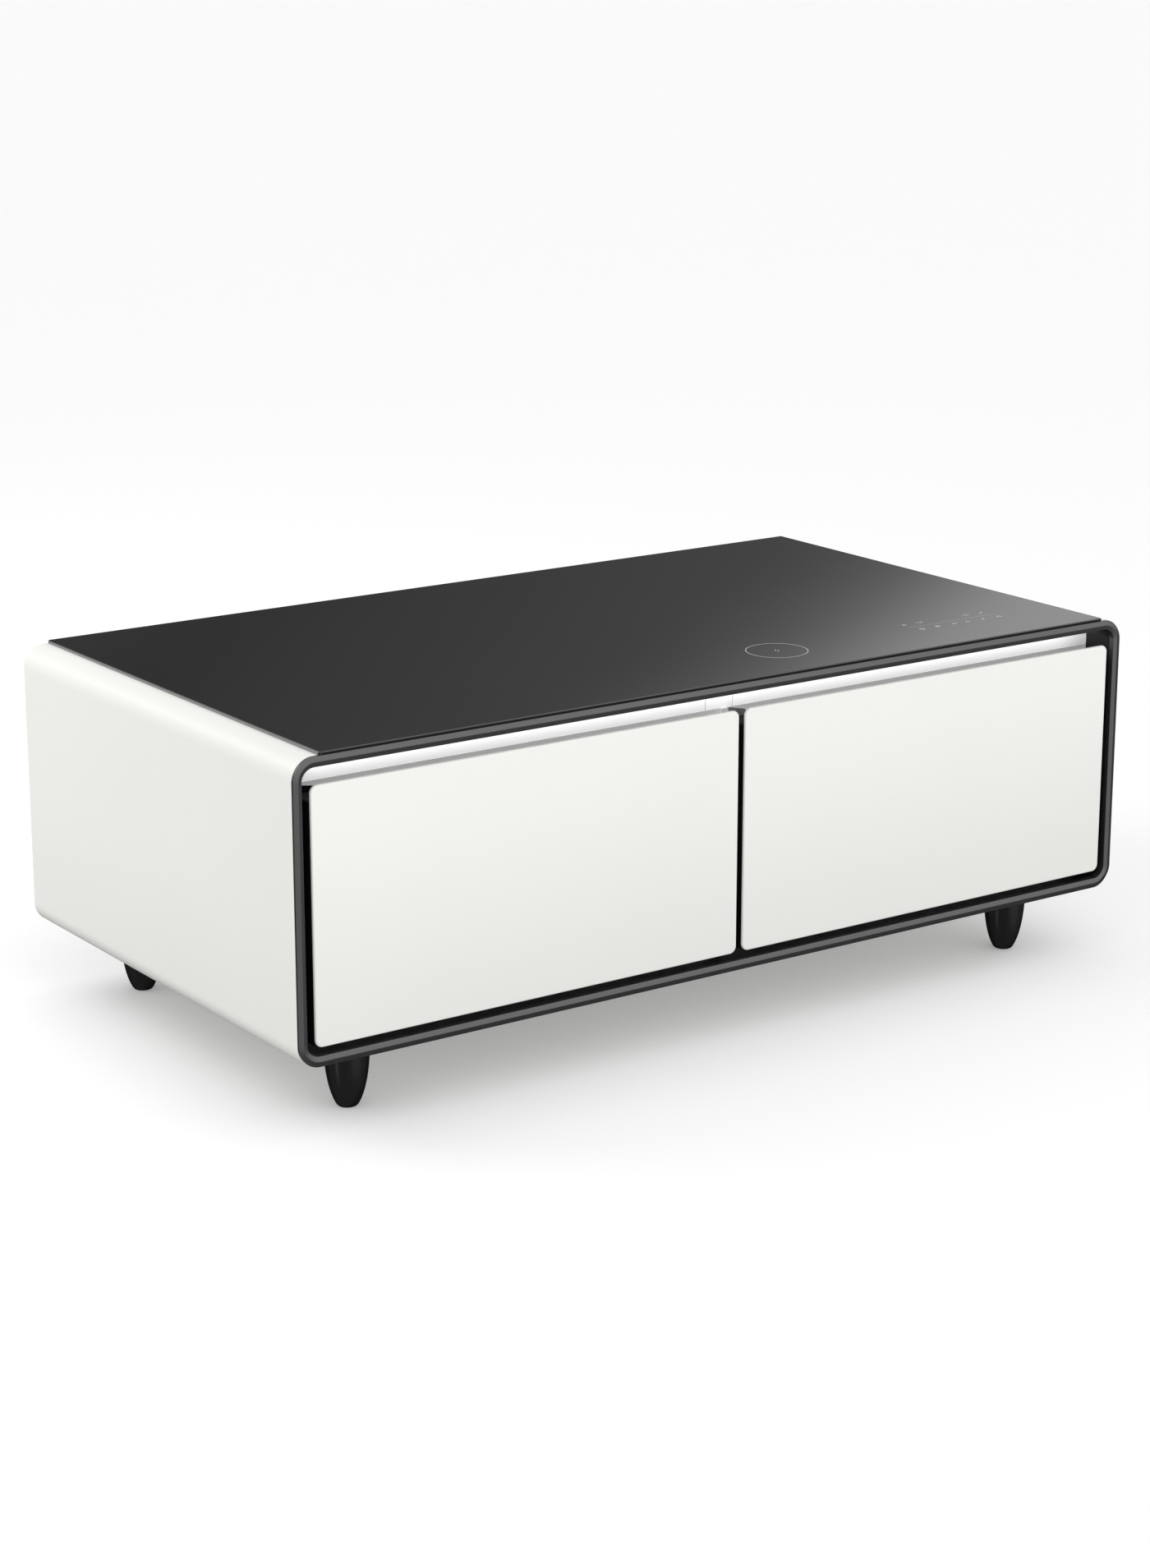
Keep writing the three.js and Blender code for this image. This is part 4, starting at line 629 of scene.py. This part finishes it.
# Unless told otherwise a strip takes the glowing copy of the moulding, whose glow is painted light.
def recess_strip(name, start, end, replaced=(), material=painted_glow):
    """A coved section carried along X: depth is face - cove (1 - cos a), height is bottom + rise sin a."""
    turn = np.linspace(0, pi / 2, 17)
    depth = np.append(strip_face - cove * (1 - np.cos(turn)), [strip_back, strip_back])
    height = np.append(strip_bottom + (strip_top - strip_bottom) * np.sin(turn), [strip_top, strip_bottom])
    reach = end_x - end_radius * (1 - np.sin(np.linspace(0, 1, 25) * pi / 2))
    reach = np.concatenate([reach, -reach])
    stations = [start, start + 0.15, start + ease_length, end - ease_length, end - 0.15, end]
    stations = np.unique(np.concatenate([stations, reach[(reach < end) & (reach > start)]]))
    past = np.clip(np.abs(stations) - (end_x - end_radius), 0, end_radius)
    ceiling = strip_top - end_radius + np.sqrt(end_radius ** 2 - past ** 2)
    near_end = np.minimum(stations - start, end - stations)
    straight = np.clip((end_x - np.abs(stations)) / runout, 0, 1)
    easing = ease_depth * np.clip(1 - near_end / ease_length, 0, 1) ** 2
    x = stations[:, None] * np.ones(len(depth))
    y = strip_face + (depth - strip_face) * straight[:, None]
    y = np.where(depth < strip_back, y + easing[:, None], strip_back)
    z = np.minimum(height, ceiling[:, None])
    skinned(name, np.stack([x, y, z], -1), "white_gloss_plastic", replaces=replaced, material=material)


joint_left, joint_right, joint, seam_half = -18.2, 24.8, 0.3, 0.29
recess_strip("recess_cove_left", -end_x, joint_left - joint, ["recess_strip_left"])
recess_strip("recess_cove_centre", joint_left + joint, joint_right - joint, ["recess_strip_centre"])
recess_strip("recess_cove_right", joint_right + joint, end_x, ["recess_strip_right"])
seam_grey = skin_finish("grey_seam", (0.45, 0.45, 0.455), 0.5, 1500, 0.1)
for hand, x in (("left", joint_left), ("right", joint_right)):
    recess_strip(f"joint_seam_{hand}", x - seam_half, x + seam_half, material=seam_grey)

# %% [markdown]
# The legs are turned in the shape of a bullet: a curve a little fuller than an ellipse narrows to a small
# flat foot. The rounded edge of the foot is a second curve that meets the first one smoothly. A profile of
# (radius, height) points is carried round a circle. A threaded stud stands on top.

# %% Legs
def turned(name, profile, centre, slot, steps=72, **more):
    """A turned piece: each profile point (radius, height) becomes a circle round an upright axis."""
    radius, rise = np.asarray(profile, float).T
    angle = np.linspace(0, 2 * pi, steps, endpoint=False)
    x = centre[0] + radius[:, None] * np.cos(angle)
    y = centre[1] + radius[:, None] * np.sin(angle)
    skinned(name, np.stack([x, y, rise[:, None] * np.ones(steps)], -1), slot, **more)


leg_height, leg_radius, leg_crown, leg_reach, foot_round = 91.8, 28.8, 96.0, 104.0, 6.0
foot_flat, foot_start, stud_radius, stud_top = 8.5, 9.5, 4.0, 100.7
rise = np.linspace(foot_round, leg_height - 0.5, 40)
bulge = leg_radius * np.sqrt(1 - ((leg_crown - rise) / leg_reach) ** 2.45)
slope = (bulge[1] - bulge[0]) / (rise[1] - rise[0])
t = np.linspace(0, 1, 9)[:-1, None]
foot_corner, foot_end = [bulge[0] - slope * foot_round, 0], [bulge[0], foot_round]
foot = (1 - t) ** 2 * [foot_start, 0] + 2 * t * (1 - t) * foot_corner + t ** 2 * foot_end
crown = [[bulge[-1] - 0.15, leg_height - 0.2], [bulge[-1] - 0.5, leg_height]]
stud = [[stud_radius, leg_height], [stud_radius, stud_top - 0.5], [stud_radius - 0.5, stud_top]]
leg_line = np.concatenate([[[foot_flat, 0]], foot, np.stack([bulge, rise], 1), crown, stud])
leg_x = {"left": -535.0, "right": 533.2}
for fore, y in (("front", -264.0), ("rear", 267.0)):
    for hand in hands:
        turned(f"turned_leg_{fore}_{hand}", leg_line, (leg_x[hand], y), "leg_black",
               replaces=[f"leg_{fore}_{hand}"])

# %% [markdown]
# The marks on the glass are printed in pale grey: a ring with a charging mark, and two rows of touch signs
# with a fine line between them. A print has hardly any thickness, so each stroke is a thin ribbon along a
# drawn line that stands 0.05 mm out of the glass.

# %% Printed marks
def gathered(parts):
    """Several bodies as one: the faces of each are shifted by the number of points before it."""
    starts = np.cumsum([0] + [len(points) for points, _ in parts])
    faces = [(np.asarray(face) + start).tolist() for (_, own), start in zip(parts, starts) for face in own]
    return np.concatenate([points for points, _ in parts]), faces


def ribbon(line, width, closed=False):
    """A flat ribbon along a line: each point is moved half the width to both sides, along the normal, and
    given a lower and an upper copy."""
    line = np.asarray(line, float)
    run = np.roll(line, -1, 0) - np.roll(line, 1, 0) if closed else np.gradient(line, axis=0)
    run /= np.linalg.norm(run, axis=1, keepdims=True)
    aside = np.stack([-run[:, 1], run[:, 0]], 1) * width / 2
    corners = [(aside, print_bottom), (-aside, print_bottom), (-aside, print_top), (aside, print_top)]
    edges = [np.insert(line + offset, 2, level, 1) for offset, level in corners]
    faces = net(len(line), 4, rows_close=True).tolist() if closed else tube(len(line), 4)
    return np.stack(edges, 1).reshape(-1, 3), faces


def arc(x, y, radius, start, end, steps=32):
    """Points of a circle's arc, with angles in degrees."""
    angle = np.radians(np.linspace(start, end, steps))
    return np.stack([x + radius * np.cos(angle), y + radius * np.sin(angle)], 1)


def figure(digit, x):
    """Strokes of a figure made of up to seven bars, each bar a little shorter than its place."""
    corner = np.array([[0, 2.8], [2.8, 2.8], [0, 0], [2.8, 0], [0, -2.8], [2.8, -2.8]]) + [x, 0]
    bars = {"1": [(1, 3), (3, 5)], "2": [(0, 1), (1, 3), (2, 3), (2, 4), (4, 5)],
            "4": [(0, 2), (2, 3), (1, 3), (3, 5)]}
    ends = [corner[list(bar)] for bar in bars[digit]]
    return [(0.9 * end + 0.1 * end.mean(0), fine) for end in ends]


print_bottom, print_top = 475.93, 476.0
fine, bold, sign_size = 0.75, 1.15, 1.25
row_low, row_high, line_y = -260.0, -229.0, -245.0
arm_turn = np.radians([0, 60, 120])
arms = 3.2 * np.stack([np.cos(arm_turn), np.sin(arm_turn)], 1)
lock_body = [(-2.2, -2.9), (2.2, -2.9), (2.2, 0.4), (-2.2, 0.4), (-2.2, -2.9)]
signs = {
    (371.5, row_low): [(arc(0, 0, 2.7, 125, 415), bold), ([(0, 0.4), (0, 3.6)], bold)],
    (399.0, row_low): [(arc(0, 0.7, 2.4, -60, 240), fine), (arc(0, 0.9, 1.0, 0, 345), bold),
                       ([(-1.2, -2.2), (1.2, -2.2)], bold), ([(-0.8, -3.3), (0.8, -3.3)], fine)],
    (428.0, row_low): [([(-3.4, 0), (3.4, 0)], 1.9)],
    (451.5, row_low): [([(-2.8, 0), (2.8, 0)], bold), ([(0, -2.8), (0, 2.8)], bold)],
    (480.0, row_low): [(arc(-1.4, -2.2, 0.9, 0, 345, 16), bold),
                       ([(-0.5, -2.2), (-0.5, 3.0), (2.4, 1.8)], fine)],
    (507.0, row_low): [(lock_body, bold), (arc(0, 0.6, 1.5, 0, 180, 14), fine)],
    (366.0, row_high): [([-arm, arm], fine) for arm in arms],
    (393.0, row_high): [([(-5.4, 0), (-2.8, 0)], fine), *figure("4", -0.8),
                        (arc(4.6, 2.2, 0.8, 0, 340, 14), fine)],
    (474.0, row_high): [*figure("1", -4.2), *figure("2", 1.0)],
    (501.0, row_high): [([(step, -2.6), (step, 0.9 * step + 0.4)], bold) for step in (-1.8, 0.0, 1.8)],
}
touch_signs = [ribbon(np.asarray(line) * sign_size + centre, width)
               for centre, strokes in signs.items() for line, width in strokes]
touch_signs.append(ribbon([(361.0, line_y), (510.0, line_y)], 0.35))

ring_x, ring_y, ring_radius = 134.0, -248.0, 40.5
spark = np.array([(1.2, 4.8), (-2.4, -0.4), (2.4, 0.4), (-1.2, -4.8)]) + (ring_x, ring_y)
charge = [ribbon(arc(ring_x, ring_y, ring_radius, 0, 357.5, 144), 0.8, closed=True), ribbon(spark, 1.1)]

pale_print = skin_finish("pale_print", (0.6, 0.6, 0.605), 0.45, 300, 0.02)
for name, strokes in (("charging_mark", charge), ("touch_signs", touch_signs)):
    piece(name, *gathered(strokes), "dark_glass", material=pale_print)

# %% [markdown]
# Each cooled compartment is a white moulded tub with a wide flange that the door closes against. The tub and
# the flange are one skin: it starts at the tub's rear wall inside, comes forward to the rounded mouth, goes
# out over the flange and back along the outside.

# %% Liners
def mirrored(side, near, far):
    """Left and right of what lies between two distances from the middle, on the right or on the left side."""
    return (near, far) if side > 0 else (-far, -near)


tub_walls, tub_floor, tub_ceiling, tub_corner = (22.0, 606.0), 138.0, 400.0, 12
flange_floor, flange_ceiling, flange_front, flange_back = 106.4, 427.4, -296, -294


def liner(hand, side):
    """Rows of rounded rectangles from the inner rear wall, over the mouth and flange, to the outer one."""
    inside = (*mirrored(side, *tub_walls), tub_floor, tub_ceiling)
    flange = (*mirrored(side, 0.15, end_x), flange_floor, flange_ceiling)
    within = [(16, 130), (0, 130), (0, flange_front), (-3, flange_front)]
    within = eased(within, (0, 9, 1.4, 0), closed=False)
    around = [(-3, flange_back), (-2, flange_back), (-2, 132), (16, 132)]
    around = eased(around, (0, 0.4, 11, 0), closed=False)
    grow = np.array([1, -1, 1, -1])
    edge_rows = np.array([(1.0, flange_front), (0.3, flange_front), (0, flange_front + 0.3),
                          (0, flange_back - 0.3), (0.3, flange_back), (1.0, flange_back)])
    boxes = np.concatenate([inside + within[:, :1] * grow, flange + edge_rows[:, :1] * grow,
                            inside + around[:, :1] * grow])
    levels = np.concatenate([within, edge_rows, around])[:, 1]
    bend = np.array([1.0, 1.0, 1.0, end_radius] if side < 0 else [end_radius, 1.0, 1.0, 1.0])
    radii = np.concatenate([tub_corner - within[:, :1] * np.ones(4), bend - edge_rows[:, :1],
                            tub_corner - around[:, :1] * np.ones(4)])
    loops = outlines(*boxes.T, np.maximum(radii, 0.3), 8)
    # The tub takes the faintly glowing copy of the moulding: its glow on the band above the doors is painted
    # light.
    skinned(f"compartment_tub_{hand}", stacked(loops, levels), "white_gloss_plastic",
            replaces=[f"liner_{hand}"], material=painted_spill)


for hand, side in hands.items():
    liner(hand, side)

# %% [markdown]
# Black strips cover the flange where the gaps beside and between the doors would show it. Between the doors,
# on the light band above them, sit the switch of the inner lamps, a small white cap, and beside it a grey
# plate of painted shadow. A black plate of painted shade fills the left corner. The upper edges of both
# plates slope down to the right: heights are lowered in step with the distance.

# %% Jamb strips, lamp switch and painted shadow plates
jamb_edge = slab_edge(-295.9, -297.2, 0.2, 0.5, 4)
cap_edge = slab_edge(-295.9, -299.0, 0.2, 1.1, 5)
plate_edge = slab_edge(-295.9, -296.6, 0.2, 0.3, 4)
painted_shadow_grey = skin_finish("painted_shadow_grey", (0.3, 0.3, 0.305), 0.5, 1500, 0.1)
jamb_bottom, jamb_top, jamb_corner, cap_corner, plate_corner = 108.5, 421.5, 2.2, 2.4, 2.6
jambs = {"left": (-637.4, -622.6, jamb_bottom, jamb_top), "centre": (-6.4, 10.6, jamb_bottom, 414.5),
         "right": (626.2, 637.4, jamb_bottom, jamb_top)}
for place, box in jambs.items():
    moulded(f"jamb_strip_{place}", box, jamb_corner, jamb_edge, "black_plastic", steps=8, material=matt_black)
# The cap takes the same faintly glowing copy, painted light.
moulded("switch_cap", (5.5, 17.0, 418.5, 427.3), cap_corner, cap_edge, "white_gloss_plastic", steps=8,
        material=painted_spill)


def sloped_shade_plate(name, box, slope, material):
    """A thin plate of painted shade whose upper edge falls to the right: heights are lowered by slope times
    the distance from its left end, fully at the upper edge and not at all at the lower one."""
    left, _, low, high = np.array(box) / 1000

    def slant(places):
        share = np.clip((places[:, 2] - low) / (high - low), 0, 1)
        places[:, 2] -= slope * (places[:, 0] - left) * share

    plate = moulded(name, box, plate_corner, plate_edge, "black_plastic", steps=8, material=material)
    reshaped(plate, slant)


# Painted shadow: a grey plate beside the cap and a black plate in the left corner stand in for shade on the
# band.
sloped_shade_plate("painted_shadow_plate", (17.8, 46.0, 413.2, 427.0), 0.215, painted_shadow_grey)
sloped_shade_plate("corner_shade_plate", (-624.0, -592.0, 413.2, 425.5), 0.15, matt_black)

# %% [markdown]
# The gasket is a soft magnetic seal. Seen in section it is a fold like a small bellows, with a pocket for the
# magnet where it meets the flange, so it can stretch when the door leaves. One half of the section is drawn
# and mirrored, and the whole is carried round the door as a ring.

# %% Door gaskets
half_fold = [(0.6, -302.7), (0.0, -301.4), (1.5, -300.2), (0.3, -299.0), (0.2, -296.9), (1.2, -296.3),
             (4.0, -296.3)]
bellows_width, seal_inset, seal_top, seal_corner = 12.0, 3.8, 412.8, 14.0
other_half = [(bellows_width - inset, level) for inset, level in reversed(half_fold)]
bellows = eased(half_fold + [(6.0, -297.6)] + other_half, 0.4, 3)
for hand, (left, right, bottom, _) in panel_box.items():
    seal_box = (left + seal_inset, right - seal_inset, bottom + seal_inset, seal_top)
    moulded(f"bellows_seal_{hand}", seal_box, seal_corner, bellows, "gasket_rubber", ring=True, steps=8,
            body=f"drawer_{hand}", replaces=[f"door_gasket_{hand}"])

# %% [markdown]
# The bins are deep pale tubs with round corners, a coved floor and a rolled rim that rests on the runners.
# The skin runs from the floor inside, up the wall, over the rim and down the outside. The rim is wider at the
# two sides than at the front and back, so the profile carries one inset for the sides and one for the ends.

# %% Drawer bins
bin_line = [(24, 24, 149), (3, 3, 149), (3, 3, 392), (-5, 0, 392), (-5, 0, 388), (0, 0, 388), (0, 0, 146),
            (22, 22, 146)]
aside, ahead, level = eased(bin_line, (0, 13, 1.6, 1.2, 0.8, 0.8, 12, 0), 7, closed=False).T
bin_front, bin_rear, bin_corner = -302.7, 75.0, 18
radii = np.maximum(bin_corner - ahead, 1.5)[:, None]
for hand, side in hands.items():
    left, right = mirrored(side, 35.3, 592.7)
    loops = outlines(left + aside, right - aside, bin_front + ahead, bin_rear - ahead, radii, 10)
    skinned(f"moulded_bin_{hand}", stacked(loops, level, "flat"), "bin_plastic", body=f"drawer_{hand}",
            replaces=[f"drawer_bin_{hand}"])

# %% [markdown]
# Each drawer hangs on two telescopic runners. A runner is three folded steel channels, one inside the other,
# with steel balls between their edges: the outer one is fixed to the compartment, the middle one slides half
# as far as the drawer, and the inner one carries the bin. Each section is drawn as its lower half, mirrored
# upwards and given rounded bends.

# %% Runners
run_front, run_rear, run_z, wall_gap, ball_radius = -291.0, 74.0, 230.0, 0.3, 2.3


def folded(section, wall, towards):
    """A folded section run along Y: the section's first number is the distance from the compartment's wall,
    its second the height about the runner's middle."""
    line = eased(section, 0.42, 3)
    stations = np.array([run_front, run_front + 0.3, run_rear - 0.3, run_rear])[:, None]
    grid = np.broadcast_arrays(wall + towards * (wall_gap + line[:, 0]), stations, run_z + line[:, 1])
    return np.stack(grid, -1).reshape(-1, 3), tube(len(stations), len(line))


def ball(x, y, z):
    """A steel ball: circles of latitude round Y, closed by a small flat face at each pole."""
    tilt = np.linspace(0.12, pi - 0.12, 9)[:, None]
    turn = np.linspace(0, 2 * pi, 14, endpoint=False)
    grid = np.broadcast_arrays(x + ball_radius * np.sin(tilt) * np.cos(turn), y + ball_radius * np.cos(tilt),
                               z + ball_radius * np.sin(tilt) * np.sin(turn))
    return np.stack(grid, -1).reshape(-1, 3), tube(9, 14)


def cage(low, high, near, far, start, end, wall, towards):
    """A ball cage: a thin strip with a row of balls standing through it."""
    middle_x, middle_z = (near + far) / 2, (low + high) / 2
    strip = [(near, middle_z - 0.5), (far, middle_z - 0.5), (far, middle_z + 0.5), (near, middle_z + 0.5)]
    points, faces = folded(strip, wall, towards)
    share = (points[:, 1] - run_front) / (run_rear - run_front)
    points[:, 1] = start + share * (end - start)
    x, z = wall + towards * (wall_gap + middle_x), run_z + middle_z
    return [(points, faces)] + [ball(x, y, z) for y in np.linspace(start + 6, end - 6, 8)]


cages = ((15.8, 20.7, 3.5, 7.0, -34.0, 70.0), (10.3, 15.8, 6.4, 10.8, -287.0, -187.0))
lower_halves = {"cabinet": [(0, -22.5), (9, -22.5), (9, -19), (7.5, -19), (7.5, -21), (1.5, -21)],
                "middle": [(3.3, -16.5), (11, -16.5), (11, -15), (4.8, -15)],
                "drawer": [(12.7, -10), (6, -10), (6, -8.5), (11.2, -8.5)]}
for hand, side in hands.items():
    bodies = {"cabinet": "cabinet", "middle": f"runner_middle_{hand}", "drawer": f"drawer_{hand}"}
    for end, wall, towards in zip("ab", mirrored(side, *tub_walls), (1, -1)):
        for part, half in lower_halves.items():
            shapes = [folded(half + [(out, -up) for out, up in reversed(half)], wall, towards)]
            for way in (-1, 1) if part == "middle" else ():
                for low, high, *place in cages:
                    shapes += cage(way * low, way * high, *place, wall, towards)
            piece(f"steel_channel_{part}_{hand}_{end}", *gathered(shapes), "zinc_steel", bodies[part],
                  replaces=[f"runner_{part}_{hand}_{end}"])

# %% [markdown]
# The rear panel is a black sheet with two fields of pressed louvres that let the warm air of the machine room
# out. The sheet is drawn as an outline with slots, and a triangulation fills what lies between them. Each
# louvre is a pressed hood above its slot: it bulges out from the sheet and ends in an open lip.

# %% Rear panel
def pierced_plate(outline, holes, near, far):
    """A flat plate between two depths, with holes. The area between the loops is triangulated, copied to both
    depths, and every edge that belongs to one triangle only gets a wall."""
    rings = [outline] + holes
    starts = np.cumsum([0] + [len(ring) for ring in rings])
    edges = [(start + i, start + (i + 1) % len(ring))
             for ring, start in zip(rings, starts) for i in range(len(ring))]
    flat, _, faces, *_ = delaunay_2d_cdt([tuple(p) for p in np.concatenate(rings)], edges, [], 2, 1e-5)
    flat = np.array([tuple(p) for p in flat])
    faces = np.array(faces)
    count = len(flat)
    pairs = np.concatenate([faces[:, [0, 1]], faces[:, [1, 2]], faces[:, [2, 0]]])
    keys = np.sort(pairs, 1) @ [count, 1]
    _, first, uses = np.unique(keys, return_index=True, return_counts=True)
    start, end = pairs[first[uses == 1]].T
    walls = np.stack([end, start, start + count, end + count], 1)
    points = np.concatenate([np.insert(flat, 1, near, 1), np.insert(flat, 1, far, 1)])
    return points, faces.tolist() + (faces[:, ::-1] + count).tolist() + walls.tolist()


def louvre_hood(x, top):
    """A pressed hood: it stands out by reach (1 - |across|^6) sin(down)^0.7, doubled inwards to a wall."""
    across = np.linspace(-1, 1, 33)[:, None]
    down = np.linspace(0, 1, 9)
    bulge = hood_reach * np.clip(1 - np.abs(across) ** 6, 0, 1) * np.sin(down * pi / 2) ** 0.7
    grid = (x + hood_half * across, sheet_outer + bulge, top + hood_lap - hood_height * down)
    outer = np.stack(np.broadcast_arrays(*grid), -1)
    loops = np.concatenate([outer, (outer - [0, hood_wall, 0])[:, ::-1]], 1)
    return loops.reshape(-1, 3), tube(*loops.shape[:2])


sheet_inner, sheet_outer, sheet_inset = 344.0, 346.0, 2.8
hood_reach, hood_half, hood_lap, hood_height, hood_wall = 3.3, 56.2, 2.2, 9.2, 1.0
slot_half, slot_height, slot_pitch, slot_bottom = 55, 6, 19.0, 154.0
plate_line = outlines(-half_width + sheet_inset, half_width - sheet_inset, body_bottom + sheet_inset,
                      body_top - sheet_inset, corner_radius - sheet_inset, 14)[0]
slot_places = [(x, slot_bottom + slot_pitch * row) for x in (-393.0, -267.0, 87.0, 213.0) for row in range(7)]
slots = [outlines(x - slot_half, x + slot_half, z, z + slot_height, 2.9, 4)[0] for x, z in slot_places]
inlet_x, inlet_z = 520.0, 154.0
slots.append(outlines(inlet_x - 15.3, inlet_x + 15.3, inlet_z - 11.3, inlet_z + 11.3, 0.8, 3)[0])
shapes = [pierced_plate(plate_line, slots, sheet_inner, sheet_outer)]
shapes += [louvre_hood(x, z + slot_height) for x, z in slot_places]
piece("louvred_panel", *gathered(shapes), "black_painted_steel", replaces=["rear_panel"], crease=32)

# %% [markdown]
# Screws hold the rear panel round its edge. A screw head is a low dome with a cross pressed into it: its
# height falls with the square of the radius, and two crossing bands are sunk.

# %% Screws
def screw_head(x, z, radius=4.2, rise=2.0):
    """A cross-head screw in the rear panel: circles of growing radius carry the height of the dome."""
    ring = np.linspace(0.06, 1, 15)[:, None]
    turn = np.linspace(0, 2 * pi, 48, endpoint=False)
    across, up = ring * np.cos(turn), ring * np.sin(turn)
    height = rise * (1 - 0.75 * ring ** 2) * np.ones_like(turn)
    cross = (np.minimum(np.abs(across), np.abs(up)) < cross_half) & (ring < cross_reach)
    height[cross] -= cross_depth
    points = np.stack([x + radius * across, sheet_outer + height, z + radius * up], -1)
    points = np.concatenate([points, points[-1:]])
    points[-1, :, 1] = sheet_outer - 0.2
    return points.reshape(-1, 3), tube(*points.shape[:2])


cross_half, cross_reach, cross_depth = 0.13, 0.6, 0.9
screw_places = [(x, z) for x in (-560, -280, 0, 280, 560) for z in (108.0, 457.7)] + [(-634, 283), (634, 283)]
heads = [screw_head(x, z) for x, z in screw_places]
piece("panel_screws", *gathered(heads), "zinc_steel", crease=50)

# %% [markdown]
# The mains inlet is a black flanged socket with three flat pins. Its skin runs from the floor of the socket
# out to the rounded mouth, over the flange and back along the body behind the panel.

# %% Mains inlet
face_level = 348.7
half_x, half_z, level, bend = np.array([
    (12.0, 8.0, 332.7, 2.4), (12.6, 8.6, 332.7, 3.0), (12.6, 8.6, 333.3, 3.0), (12.6, 8.6, 348.0, 3.0),
    (12.9, 8.9, 348.5, 3.3), (13.3, 9.3, face_level, 3.7), (24.0, 12.0, face_level, 4.0),
    (24.6, 12.6, 348.5, 4.6), (25.0, 13.0, 348.1, 5.0), (25.0, 13.0, 346.3, 5.0), (24.5, 12.5, 346.05, 4.5),
    (15.4, 11.4, 346.05, 1.4), (15.0, 11.0, 345.8, 1.0), (15.0, 11.0, 327.0, 1.0),
    (14.6, 10.6, 326.7, 0.6)]).T
loops = outlines(inlet_x - half_x, inlet_x + half_x, inlet_z - half_z, inlet_z + half_z, bend[:, None], 6)
skinned("inlet_socket", stacked(loops, level), "black_plastic", replaces=["power_inlet"])
pin_edge = slab_edge(332.0, 345.7, 0.2, 0.5, 3, 0.8)
for number, (x, z) in enumerate(((-7, -2), (0, 2), (7, -2))):
    pin_box = (inlet_x + x - 1, inlet_x + x + 1, inlet_z + z - 2, inlet_z + z + 2)
    moulded(f"inlet_pin_{number}", pin_box, 0.9, pin_edge, "zinc_steel", steps=3)
heads = [screw_head(inlet_x + x, inlet_z + z, 2.4, 1.2) for x, z in ((-20, -8), (20, 8))]
piece("inlet_screws", *gathered(heads), "zinc_steel")

# %% [markdown]
# The last line brings the scene up to date.

# %% Update
bpy.context.view_layer.update()
